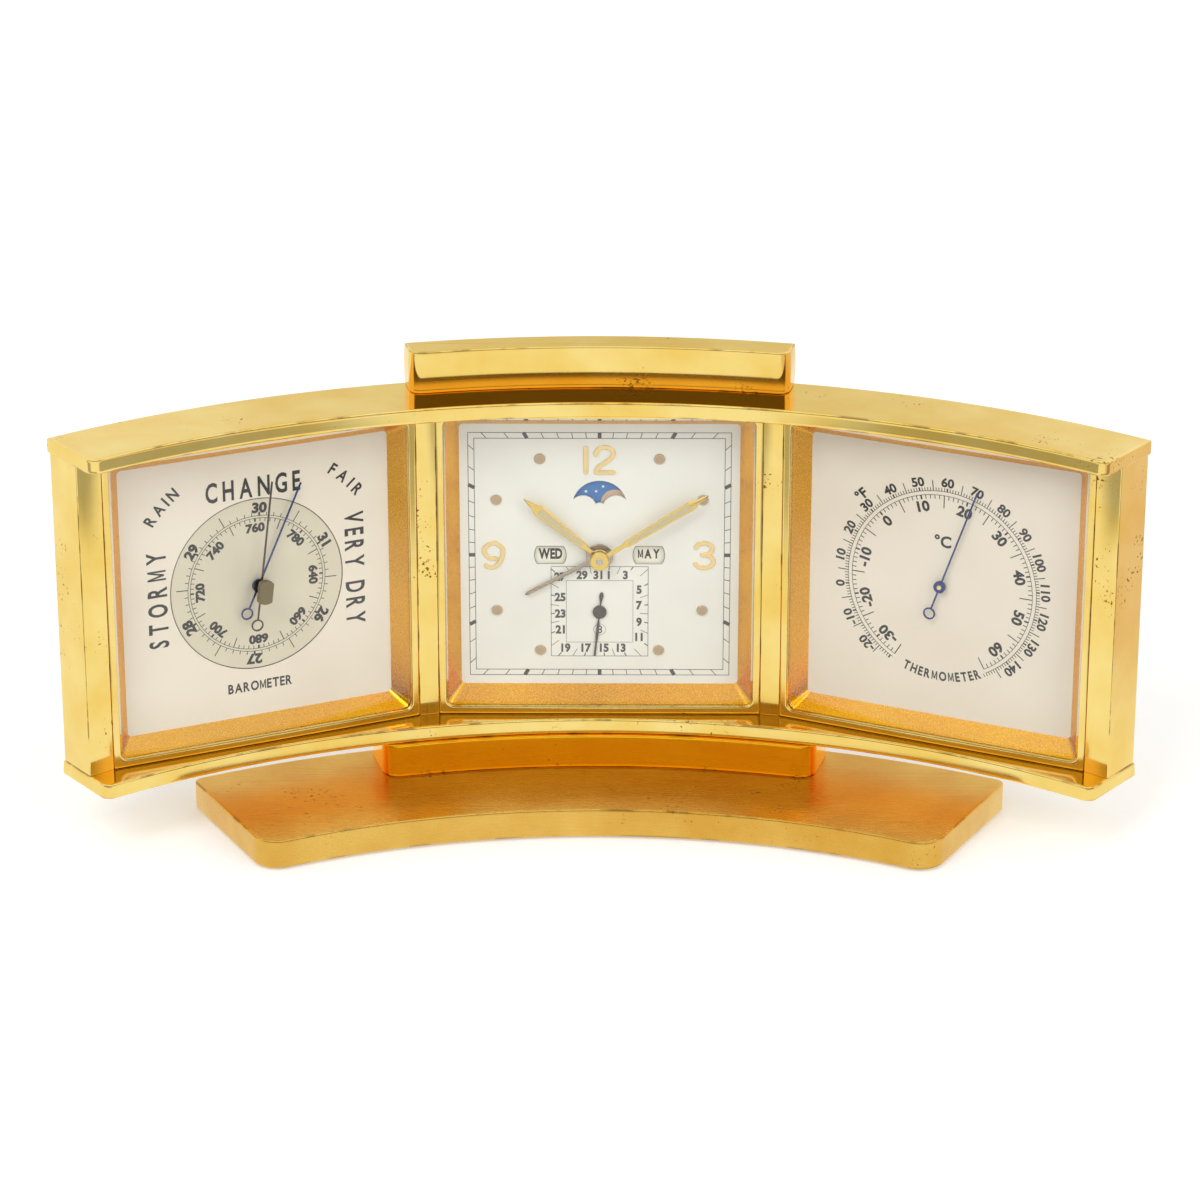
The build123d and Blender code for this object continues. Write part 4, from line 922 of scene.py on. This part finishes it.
def spaced(text, height, span, wide=1.0, weight=0.02):
    """Raised words with even gaps between their letters and a given length."""
    glyphs = [None if character == " " else letter_m(height, wide, weight)
              if character == "M" else letters(character, height, wide, weight)
              for character in text]
    reach = [max(x for x, _, _ in glyph[0]) if glyph else 0.12 * height for glyph in glyphs]
    gap = (span - 2 * sum(reach)) / (len(text) - 1)
    parts, start = [], -span / 2
    for glyph, half in zip(glyphs, reach):
        if glyph:
            parts.append(placed(glyph, across=start + half))
        start += 2 * half + gap
    return together(*parts)


def line_arc(radius, start, end, width, steps=120):
    """Raised line along part of a circle, between two clockwise angles."""
    inner, outer = radius - width / 2, radius + width / 2
    section = ((inner, 0.0), (outer, 0.0), (outer, INK), (inner, INK))
    turns = [radians(start + (end - start) * k / steps) for k in range(steps + 1)]
    return join_loops([[(r * sin(a), r * cos(a), z) for r, z in section] for a in turns])


def label_ring(texts, radius, angles, height, **form):
    """Labels round a centre, with their feet towards it."""
    return [placed(placed(letters(str(text), height, **form), up=radius), clockwise=angle)
            for text, angle in zip(texts, angles)]


print("capital height of the font:", round(CAPITAL, 3))

# %% [markdown]
# ## Scale marks
#
# A scale is one short bar, copied at even steps. Geometry Nodes make that from
# a few numbers: how many marks, where the first one is, the step, how far out
# and how long. Every so many marks, one is longer. On the clock the track is
# square, so each mark is stretched to reach from one square to the other.

# %% Geometry tree of a scale
def geometry_tree(name, inputs):
    """An empty geometry node group: its inputs, its end node and its inputs' identifiers."""
    group = bpy.data.node_groups.new(name, "GeometryNodeTree")
    group.is_modifier = True
    for label, kind, value in [("Geometry", "NodeSocketGeometry", None), *inputs]:
        socket = group.interface.new_socket(label, in_out="INPUT", socket_type=kind)
        if value is not None:
            socket.default_value = value
    group.interface.new_socket("Geometry", in_out="OUTPUT", socket_type="NodeSocketGeometry")
    names = {item.name: item.identifier for item in group.interface.items_tree
             if item.in_out == "INPUT"}
    tree = Tree(group)
    return tree, tree.add("NodeGroupInput").outputs, tree.add("NodeGroupOutput"), names


def copies_at(tree, count, spot, inputs):
    """Copies of something on points that are first moved to their spots."""
    points = tree.out("GeometryNodeMeshLine", {"Offset": (0.0, 0.0, 0.0), "Count": count})
    moved = tree.out("GeometryNodeSetPosition", {"Geometry": points, "Position": spot})
    return tree.out("GeometryNodeInstanceOnPoints", {"Points": moved, **inputs})


def close_tree(tree, copies, material, end):
    """Turns copies into plain geometry with one finish."""
    real = tree.out("GeometryNodeRealizeInstances", {0: copies})
    tree.feed(end, {0: tree.out("GeometryNodeSetMaterial",
                                {"Geometry": real, "Material": material})})


INT, MATERIAL = "NodeSocketInt", "NodeSocketMaterial"
marks, given, marks_end, MARK_INPUTS = geometry_tree("Scale marks", [
    ("Count", INT, 60), ("Start", FLOAT, 0.0), ("Step", FLOAT, 6.0), ("Radius", FLOAT, 20.0),
    ("Length", FLOAT, 1.0), ("Width", FLOAT, 0.2), ("Height", FLOAT, INK),
    ("Square", FLOAT, 0.0), ("Long Every", INT, 1000), ("Long Offset", INT, 1),
    ("Long Length", FLOAT, 3.0), ("Long Width", FLOAT, 0.2), ("Material", MATERIAL, None)])
index = marks.out("GeometryNodeInputIndex")
angle = marks.chain(index, ("MULTIPLY", given["Step"]), ("ADD", given["Start"]), ("RADIANS",))
sine, cosine = marks.math("SINE", angle), marks.math("COSINE", angle)
larger = marks.math("MAXIMUM", marks.math("ABSOLUTE", sine), marks.math("ABSOLUTE", cosine))
stretch = marks.chain(larger, ("SUBTRACT", 1.0), ("MULTIPLY", given["Square"]), ("ADD", 1.0))
is_long = marks.chain(index, ("ADD", given["Long Offset"]), ("MODULO", given["Long Every"]),
                      ("LESS_THAN", 0.5))
length, width = [marks.chain(given[f"Long {kind}"], ("SUBTRACT", given[kind]),
                             ("MULTIPLY", is_long), ("ADD", given[kind]))
                 for kind in ("Length", "Width")]
reach = marks.chain(length, ("MULTIPLY", 0.5), ("ADD", given["Radius"]), ("DIVIDE", stretch))
spot = marks.combine(X=marks.math("MULTIPLY", sine, reach), Y=marks.math("MULTIPLY", cosine, reach),
                     Z=marks.math("MULTIPLY", given["Height"], 0.5))
size = marks.combine(X=width, Y=marks.chain(length, ("ABSOLUTE",), ("DIVIDE", stretch)),
                     Z=given["Height"])
bars = copies_at(marks, given["Count"], spot, {
    "Instance": marks.out("GeometryNodeMeshCube", {"Size": (1.0, 1.0, 1.0)}), "Scale": size,
    "Rotation": marks.combine(Z=marks.math("MULTIPLY", angle, -1.0))})
joined = marks.add("GeometryNodeJoinGeometry")
for part in (given["Geometry"], bars):
    marks.feed(joined, {0: part})
close_tree(marks, joined.outputs[0], given["Material"], marks_end)

TICKS = ("Count", "Start", "Step", "Radius", "Length", "Width")
LONG_TICKS = ("Long Every", "Long Offset", "Long Length", "Long Width")


def ticks(*sizes, square=0.0, long=()):
    """Settings of a scale: its sizes in the order of TICKS, then those of its long marks."""
    return {**dict(zip(TICKS, sizes)), "Square": square, **dict(zip(LONG_TICKS, long))}


def printed(name, parts, place, finish, body="case", scales=()):
    """Ink on a dial: letters and lines, and the marks of its scales."""
    steps = [(marks.tree, MARK_INPUTS, {"Material": finishes[finish], **scale})
             for scale in scales]
    piece = make_piece(name, together(*parts), place, finish, body, trees=steps, weld=2e-6)
    print(name, len(piece.data.polygons), "faces")


def on_dial(name, depth, across=0.0, up=0.0):
    """Place on a face, a little above a dial that lies at a depth behind the front."""
    return FACES[name] @ Matrix.Translation((across, up, 0.004 - depth))


# %% [markdown]
# ## The clock's dial
#
# A square track runs round the dial with a mark for each minute and a block
# for each fifth one. A smaller square below shows the date. Odd days have a
# number and even days a line, in the same square stretch.

# %% Clock prints
DATE = (0.0, -16.2)
printed("clock_minute_track", [line_loop(square(half), 0.17) for half in (34.6, 33.0)],
        on_dial("clock", CLOCK_DEPTH), "ink_grey",
        scales=[ticks(60, 0.0, 6.0, 33.0, 1.6, 0.2, square=1.0, long=(5, 0, 1.6, 1.0))])


def square_place(half, angle):
    """Point on a square at a clockwise angle from the top."""
    s, c = sin(radians(angle)), cos(radians(angle))
    return half * s / max(abs(s), abs(c)), half * c / max(abs(s), abs(c))


DAY_STEP = 360 / 31
date_parts = [line_loop(square(12.9), 0.14), line_loop(square(8.87), 0.1)]
for day in range(1, 32, 2):
    across, up = [v if abs(v) > 9 else v * (1.2 - 0.036 * abs(v))
                  for v in square_place(10.5, day * DAY_STEP)]
    across -= 0.45 if day == 31 else 0.0
    date_parts.append(placed(letters(str(day), 2.15, wide=0.92, weight=0.045), across, up))
date_parts += [placed(letters("8", 2.2, weight=0.0), up=-5.2),
               placed(line_loop(circle(1.6, 48), 0.09), up=-5.2)]
printed("clock_date_scale", date_parts, on_dial("clock", CLOCK_DEPTH, *DATE), "ink_grey",
        scales=[ticks(16, DAY_STEP, 2 * DAY_STEP, 12.9, -1.0, 0.26, square=1.0),
                ticks(15, 2 * DAY_STEP, 2 * DAY_STEP, 12.9, -2.1, 0.14, square=1.0)])

DISCS = {"day_disc": (-23.2, 0.0), "month_disc": (23.2, 0.0), "moon_disc": (0.0, 12.6)}
DISC_DEPTH, WINDOW_REACH = 8.6, 10.15
DAYS = "WED THU FRI SAT SUN MON TUE".split()
MONTHS = "MAY JUN JUL AUG SEP OCT NOV DEC JAN FEB MAR APR".split()
for name, words, side, height, span in (("day_disc", DAYS, 1, 2.7, 6.3),
                                        ("month_disc", MONTHS, -1, 2.4, 5.8)):
    parts = []
    for k, word in enumerate(words):
        word = placed(spaced(word, height, span, 0.66, 0.045), across=side * WINDOW_REACH)
        parts.append(placed(word, clockwise=360 * k / len(words)))
    printed(f"{name}_names", parts, on_dial("clock", DISC_DEPTH, *DISCS[name]), "ink", name)

# %% [markdown]
# ## Moon, stars and raised numerals
#
# The moon disc carries two plain moons and small stars, so that one moon
# rises as the other sets. The hour numerals are strokes of gilt metal with
# round ends. A stroke is drawn along a smooth line through a few points,
# then raised as a plate with soft rims.

# %% Moon disc
MOON_RADIUS = 3.7
moons, stars = [], []
for half in (0, 180):
    disc = [at(circle(MOON_RADIUS - r, 64), z) for r, z in ((0, 0), (0, 0.03), (0.1, 0.05))]
    moon = placed(join_loops(disc), across=4.0, up=1.9)
    moons.append(placed(moon, clockwise=half))
    for x, y, radius in ((-3.6, 5.1, 0.48), (-0.91, 5.15, 0.43), (0.91, 6.5, 0.42),
                         (-1.85, 2.75, 0.40), (-5.4, 2.6, 0.32)):
        points = [(x + (radius if k % 2 else radius * 0.5) * sin(k * pi / 5),
                   y + (radius if k % 2 else radius * 0.5) * cos(k * pi / 5))
                  for k in reversed(range(10))]
        stars.append(placed(join_loops([at(points, 0.0), at(points, 0.03)]), clockwise=half))
moon_place = on_dial("clock", DISC_DEPTH, *DISCS["moon_disc"])
make_piece("moon_disc_moons", together(*moons), moon_place, "moon_tan", "moon_disc")
make_piece("moon_disc_stars", together(*stars), moon_place, "star_white", "moon_disc")


# %% Raised numerals
def smooth_line(points, steps=6):
    """Points along a smooth line through the given ones."""
    ends = [points[0], *points, points[-1]]
    line = []
    for k in range(1, len(ends) - 2):
        p0, p1, p2, p3 = (Vector(ends[k + j]) for j in (-1, 0, 1, 2))
        for i in range(steps):
            t = i / steps
            line.append(0.5 * (2 * p1 + (p2 - p0) * t + (2 * p0 - 5 * p1 + 4 * p2 - p3) * t ** 2
                               + (3 * p1 - p0 - 3 * p2 + p3) * t ** 3))
    return [*line, Vector(points[-1])]


def stroke(points, width=1.2, height=0.32):
    """Raised metal stroke with round ends along a smooth line."""
    line = smooth_line(points)
    ways = [(line[min(k + 1, len(line) - 1)] - line[max(k - 1, 0)]).normalized()
            for k in range(len(line))]
    sides = [Vector((way.y, -way.x)) * width / 2 for way in ways]
    right = [p + s for p, s in zip(line, sides)]
    left = [p - s for p, s in zip(line, sides)]

    def cap(middle, start):
        turn = [radians(180 * k / 8) for k in range(1, 8)]
        return [middle + Vector((start.x * cos(a) - start.y * sin(a),
                                 start.x * sin(a) + start.y * cos(a))) for a in turn]

    outline = [*right, *cap(line[-1], sides[-1]), *reversed(left), *cap(line[0], -sides[0])]
    return slab([(p.x, p.y) for p in outline], 0.0, height, 0.1, 0.02)[0]


NINE = [(0.6, -0.9), (-1.0, -0.9), (-2.3, 0.6), (-2.3, 2.0), (0, 3.5), (2.3, 2.0), (2.3, -0.5),
        (1.2, -2.6), (-0.6, -3.5), (-2.0, -3.0)]
THREE_TOP = [(-2.2, 2.3), (-1.4, 3.2), (0.1, 3.5), (1.8, 2.9), (2.1, 1.6), (1.2, 0.5), (-0.5, 0.15)]
THREE_FOOT = [(-0.5, 0.15), (1.3, -0.15), (2.4, -1.4), (2.0, -2.8), (0.5, -3.5), (-1.2, -3.3),
              (-2.3, -2.4)]
TWO = [(-2.3, 1.7), (-1.5, 3.1), (0.3, 3.65), (2.1, 2.8), (2.2, 1.2), (0.6, -0.4),
       (-1.5, -1.9), (-2.2, -3.3)]
numerals = [
    placed(stroke(NINE), -28.1),
    placed(together(stroke(THREE_TOP), stroke(THREE_FOOT, height=0.30)), 27.7),
    placed(stroke([(0, -3.4), (0, 0), (0, 3.4)]), -3.6, 26.9),
    placed(stroke(TWO), 1.25, 26.9),
    placed(stroke([(-2.2, -3.4), (0, -3.4), (2.4, -3.4)], height=0.30), 1.25, 26.9),
]
make_piece("clock_raised_numerals", together(*numerals), on_dial("clock", CLOCK_DEPTH),
           "applied_gold")

# %% [markdown]
# ## Dots for the other hours
#
# Eight small gilt rings with glowing paint in them stand where no numeral
# does. They are one ring and one drop of paint, set round the dial by a second
# tree, which leaves out every third place.

# %% Copies round a centre
ring, given, ring_end, RING_INPUTS = geometry_tree("Copies round a centre", [
    ("Count", INT, 12), ("Start", FLOAT, 0.0), ("Radius", FLOAT, 30.0),
    ("Leave Out Every", INT, 1000), ("Leave Out Offset", INT, 1), ("Material", MATERIAL, None)])
index = ring.out("GeometryNodeInputIndex")
step = ring.chain(given["Count"], ("DIVIDE", 360.0), ("POWER", -1.0))
angle = ring.chain(index, ("MULTIPLY", step), ("ADD", given["Start"]), ("RADIANS",))
kept = ring.chain(index, ("ADD", given["Leave Out Offset"]), ("MODULO", given["Leave Out Every"]),
                  ("LESS_THAN", 0.5), ("SUBTRACT", 1.0), ("ABSOLUTE",))
spot = ring.combine(X=ring.chain(angle, ("SINE",), ("MULTIPLY", given["Radius"])),
                    Y=ring.chain(angle, ("COSINE",), ("MULTIPLY", given["Radius"])))
copies = copies_at(ring, given["Count"], spot, {
    "Selection": kept, "Instance": given["Geometry"],
    "Rotation": ring.combine(Z=ring.math("MULTIPLY", angle, -1.0))})
close_tree(ring, copies, given["Material"], ring_end)


def set_round(name, part, place, finish, slot=None, **values):
    """Copies of a small part round a centre, as one piece."""
    steps = [(ring.tree, RING_INPUTS, {"Material": finishes[finish], **values})]
    make_piece(name, part, place, finish, trees=steps)


DOTS = {"Count": 12, "Radius": 31.5, "Leave Out Every": 3, "Leave Out Offset": 0}
dot_ring = washer(0.98, 1.46, 0.0, 0.42, 0.12, 40)
dot_paint = turned([(1.0, 0.1), (1.0, 0.36), (0.75, 0.41), (0.35, 0.44)], 40)
set_round("clock_hour_dot_rings", dot_ring, on_dial("clock", CLOCK_DEPTH), "dot_edge",
          "hand_gilt", **DOTS)
set_round("clock_hour_dot_lume", dot_paint, on_dial("clock", CLOCK_DEPTH), "lume", **DOTS)
print("hour dots: 8")

# %% [markdown]
# ## Dials of the barometer and the thermometer
#
# The barometer reads inches of mercury outside a double line and millimetres
# inside it, on a sunk disc that is turned a little against the words round
# it. The thermometer has two scales back to back as well.

# %% Barometer prints
SCALE_TURN = 3.6


def inch_angle(inches):
    """Clockwise angle of a pressure in inches."""
    return (inches - 30) * 60 + SCALE_TURN


def column_angle(millimetres):
    """Clockwise angle of a pressure in millimetres, eight steps to a full turn."""
    return (millimetres - 760) * 2.25


make_piece("barometer_scale_disc", pipe(0.62, 23.72, 0.0, 0.03, 144),
           on_dial("barometer", RECESS_DEPTH), "scale_paint")
# Painted shade: a dark brown ring on the step round the sunk disc stands for the step's dark
# outline.
make_piece("barometer_scale_step_shade", pipe(23.66, 23.86, -0.14, 0.03, 144),
           on_dial("barometer", SIDE_DEPTH), "hand_brown")
inches, columns = range(26, 32), range(640, 781, 20)
pressure_parts = [
    *[line_loop(circle(r, 144), 0.14) for r in (18.95, 18.3)],
    *label_ring(inches, 21.15, map(inch_angle, inches), 2.55, wide=1.1, weight=0.05),
    *label_ring(columns, 15.65, map(column_angle, columns), 2.2, wide=1.08, weight=0.05),
]
printed("barometer_scale", pressure_parts, on_dial("barometer", RECESS_DEPTH - 0.03), "ink",
        scales=[ticks(60, SCALE_TURN, 6.0, 18.95, 1.0, 0.2, long=(10, 5, 3.2, 0.24)),
                ticks(6, SCALE_TURN, 60.0, 19.0, 0.95, 0.5),
                ticks(80, column_angle(640), 4.5, 18.3, -0.95, 0.2, long=(10, 5, -2.7, 0.24)),
                ticks(8, column_angle(640), 45.0, 18.3, -0.95, 0.5)])
weather = [
    placed(spaced("CHANGE", 5.2, 26.0, 0.64, 0.023), -0.3, 27.1),
    bent(spaced("RAIN", 3.0, 11.4, 0.85, 0.028), 36.0, -45.0),
    bent(spaced("FAIR", 3.0, 11.4, 0.85, 0.028), 36.0, 45.0),
    placed(spaced("STORMY", 5.0, 26.8, 0.64, 0.023), -27.3, -0.2, -90),
    placed(spaced("VERY DRY", 5.0, 31.7, 0.64, 0.023), 27.3, 0.0, 90),
    placed(spaced("BAROMETER", 2.5, 17.8, 0.78, 0.03), 0.0, -28.7),
]
printed("barometer_words", weather, on_dial("barometer", SIDE_DEPTH), "ink")


# %% Thermometer prints
def degree_angle(celsius):
    """Clockwise angle of a temperature in degrees Celsius."""
    return (celsius - 15) * 3


def fahrenheit_angle(degrees_f):
    """Clockwise angle of a temperature in degrees Fahrenheit."""
    return degree_angle((degrees_f - 32) / 1.8)


F_STEP = 3 / 1.8
outer, inner = range(-20, 141, 10), range(-30, 61, 10)
warm_parts = [
    *[line_arc(r, -150.0, 150.0, 0.14) for r in (26.1, 25.0)],
    *label_ring(outer, 28.6, [fahrenheit_angle(n) - (2.7 if n < 0 else 0) for n in outer], 2.3,
                wide=1.05, weight=0.035),
    *label_ring(inner, 21.95, [degree_angle(n) - (3.4 if n < 0 else 0) for n in inner], 2.65,
                wide=1.05, weight=0.04),
    bent(letters("°F", 2.6, weight=0.035), 31.6, -46.5),
    placed(letters("°C", 3.0, weight=0.03), 0.0, 12.2),
    bent(spaced("THERMOMETER", 2.4, 21.8, 0.74, 0.034), 25.8, 178.1, feet_in=False),
]
printed("thermometer_scale", warm_parts, on_dial("thermometer", SIDE_DEPTH), "ink",
        scales=[ticks(181, fahrenheit_angle(-30), F_STEP, 26.1, 0.95, 0.2,
                      long=(10, 5, 2.9, 0.24)),
                ticks(18, fahrenheit_angle(-30), 10 * F_STEP, 26.15, 0.95, 0.42),
                ticks(101, degree_angle(-35), 3.0, 25.0, -1.1, 0.22, long=(10, 0, -3.5, 0.26)),
                ticks(10, degree_angle(-30), 30.0, 24.95, -1.1, 0.46)])

# %% [markdown]
# ## Small parts of the clock, and the back
#
# The date hand has a leaf at its tail and a turned hub. A dark line follows
# the edge of each calendar window: painted shade, where the cut edge of the
# dial shades the disc below. On the back, each cover is held by four slotted
# screws, set round by the same tree as the hour dots.

# %% Date hand and window edges
pointer = blade([(1.7, 0.2), (2.5, 0.2), (3.6, 0.36), (6.6, 0.4), (9.0, 0.24), (12.69, 0.28)],
                0.3, 0.1)
leaf = blade([(1.7, 0.16), (2.4, 0.18), (3.3, 0.34), (4.6, 0.58), (5.3, 0.42), (5.69, 0.12)],
             0.3, 0.1)
hub = turned([(0.3, -7.3), (1.85, -7.3), (1.85, -6.98), (1.68, -6.9), (1.5, -6.98),
              (1.1, -7.02), (0.8, -6.92), (0.2, -6.9)], 48)
arbor = turned([(0.5, -12.6), (0.5, -7.25)], 32)
date = together(placed(pointer, clockwise=186, forward=-7.25),
                placed(leaf, clockwise=6, forward=-7.25), hub, arbor)
make_piece("date_hand_leaf", placed(date, *DATE), FACES["clock"], "hand_dark", "date_hand",
           ["date_hand"])

pin = turned([(0.66, -4.5), (0.66, -4.34), (0.58, -4.26), (0.2, -4.22)], 32)
make_piece("thermometer_hand_pin", pin, FACES["thermometer"], "applied_gold",
           "thermometer_hand")

WINDOW_ACROSS, WINDOW_HALF, WINDOW_RISE, WINDOW_ARC = 13.05, 4.125, 2.4, 4.464
bulge = arc(WINDOW_ARC, asin(WINDOW_RISE / WINDOW_ARC), 6, WINDOW_HALF - WINDOW_ARC)
window = bulge + [(-x, -y) for x, y in bulge]
# Painted shade: a dark brown line round each calendar window, where the dial's cut edge shades the
# disc.
window_shade_lines = [placed(line_loop(shrunk(window, -0.09), 0.2), side * WINDOW_ACROSS) for side in (-1, 1)]
printed("clock_window_painted_shade", window_shade_lines, on_dial("clock", CLOCK_DEPTH), "window_shade_brown")


# %% Screws of the back covers
def screw_head(radius, height, slot):
    """Slotted screw head: two half discs on a lower disc."""
    half = arc(radius, pi / 2 - asin(slot / radius), 8)
    lobe = slab(half, 0.0, height, 0.12, 0.05)[0]
    foot = turned([(radius - 0.03, -0.03), (radius - 0.03, height * 0.4)], 40)
    return together(lobe, placed(lobe, clockwise=180), foot)


for name, place in FACES.items():
    behind = place @ Matrix.Translation((0, 0, -26.5)) @ Matrix.Rotation(pi, 4, "Y")
    set_round(f"{name}_cover_screws", screw_head(1.7, 0.7, 0.22), behind, "steel", "steel",
              Count=4, Start=45.0, Radius=51.6)
print("back screws: 12")

# %% [markdown]
# ## The studio
#
# The floor and the world are white to the camera, and to rays that mirror or
# glass send out, because gold shows little else than what surrounds it. The
# light that falls on matt things is set apart, at a plain level. A darker
# patch in the direction of the camera stands for the dark room behind it. It
# gives the polished gold its brown bands.

# %% Floor
floor_mesh = bpy.data.meshes.new("floor")
floor_mesh.from_pydata([(-6, -6, 0), (6, -6, 0), (6, 6, 0), (-6, 6, 0)], [], [(0, 1, 2, 3)])
floor = in_scene("floor", floor_mesh)
tree, shader = new_material("floor_white")
floor_mesh.materials.append(finishes["floor_white"])
path = tree.add("ShaderNodeLightPath").outputs
mirrored = tree.math("MAXIMUM", path["Is Glossy Ray"], path["Is Transmission Ray"])
seen = tree.math("MAXIMUM", path["Is Camera Ray"], mirrored)
tree.feed(shader, {"Base Color": (0.8, 0.8, 0.8, 1.0), "Roughness": 0.8,
                   "Emission Color": WHITE, "Emission Strength": tree.math("MULTIPLY", seen, 0.3)})
# The gold mirrors a sheet that is grey in two strips before the wings, and tan at the right: the
# tan is a painted shadow of the set on the floor, seen only in the gold
spot = tree.split(tree.place())
beside = tree.ramp(tree.math("ABSOLUTE", spot["X"]), 0.05, 0.09, kind=SMOOTH)
ahead = tree.ramp(spot["Y"], -0.10, -0.15, kind=SMOOTH)
near = tree.ramp(spot["Y"], -0.28, -0.24, kind=SMOOTH)
strips = tree.math("MULTIPLY", beside, tree.math("MULTIPLY", ahead, near))
mirrored_shadow_tint = tree.mix(tree.ramp(spot["X"], 0.19, 0.27), WHITE, (0.84, 0.69, 0.64, 1.0))
sheet = tree.out("ShaderNodeEmission",
                 {"Color": mirrored_shadow_tint, "Strength": tree.ramp(strips, 0.0, 1.0, 1.0, 0.45)})
tree.surface(tree.either(path["Is Glossy Ray"], shader.outputs[0], sheet))

# %% World
world = bpy.data.worlds.new("studio")
bpy.context.scene.world = world
world.use_nodes = True
tree = Tree(world.node_tree)
soft = tree.feed(world.node_tree.nodes["Background"],
                 {"Color": (1.0, 0.995, 0.98, 1.0), "Strength": 0.76}).outputs[0]
way = tree.split(tree.place("Generated"))
aside = tree.math("ABSOLUTE", way["X"])
# The dark room: above the horizon, below a limit, in front, and not at the sides
room = tree.ramp(way["Z"], -0.02, 0.06, kind=SMOOTH)
for value, start, end in ((way["Z"], 0.43, 0.412), (way["Y"], -0.3, -0.5), (aside, 0.94, 0.8)):
    room = tree.math("MULTIPLY", room, tree.ramp(value, start, end, kind=SMOOTH))
view = tree.mix(room, WHITE, (0.13, 0.12, 0.11, 1.0))
# The wall behind the set is a little tan, most of all in its middle
behind = tree.ramp(way["Y"], 0.5, 0.85, kind=SMOOTH)
wall = tree.math("MULTIPLY", behind, tree.ramp(aside, 0.14, 0.0, 0.1, 1.0))
view = tree.mix(wall, view, (0.72, 0.66, 0.47, 1.0))
mirror_view = tree.out("ShaderNodeBackground", {"Color": view, "Strength": 1.0})
plain_white = tree.out("ShaderNodeBackground", {"Color": WHITE, "Strength": 1.0})
path = tree.add("ShaderNodeLightPath").outputs
mirrored = tree.math("MAXIMUM", path["Is Glossy Ray"], path["Is Transmission Ray"])
tree.surface(tree.either(path["Is Camera Ray"], tree.either(mirrored, soft, mirror_view),
                         plain_white), "World Output")


# %% Lamps
def soft_lamp(name, place, size, power):
    """Large square lamp, aimed at the set, that no mirror shows."""
    data = bpy.data.lights.new(name, "AREA")
    data.size, data.energy = size, power
    lamp = in_scene(name, data)
    aim(lamp, place, Vector((0, 0, 0.05)) - Vector(place))
    lamp.visible_glossy = False


soft_lamp("key_lamp", (-0.6, -1.2, 1.4), 0.8, 11.5)
soft_lamp("fill_lamp", (1.2, -1.2, 0.9), 1.2, 10)
print("studio ready")

# %% [markdown]
# ## Last settings
#
# The colours are shown as they are, with no film look.

# %% Close the scene
bpy.context.scene.view_settings.view_transform = "Standard"
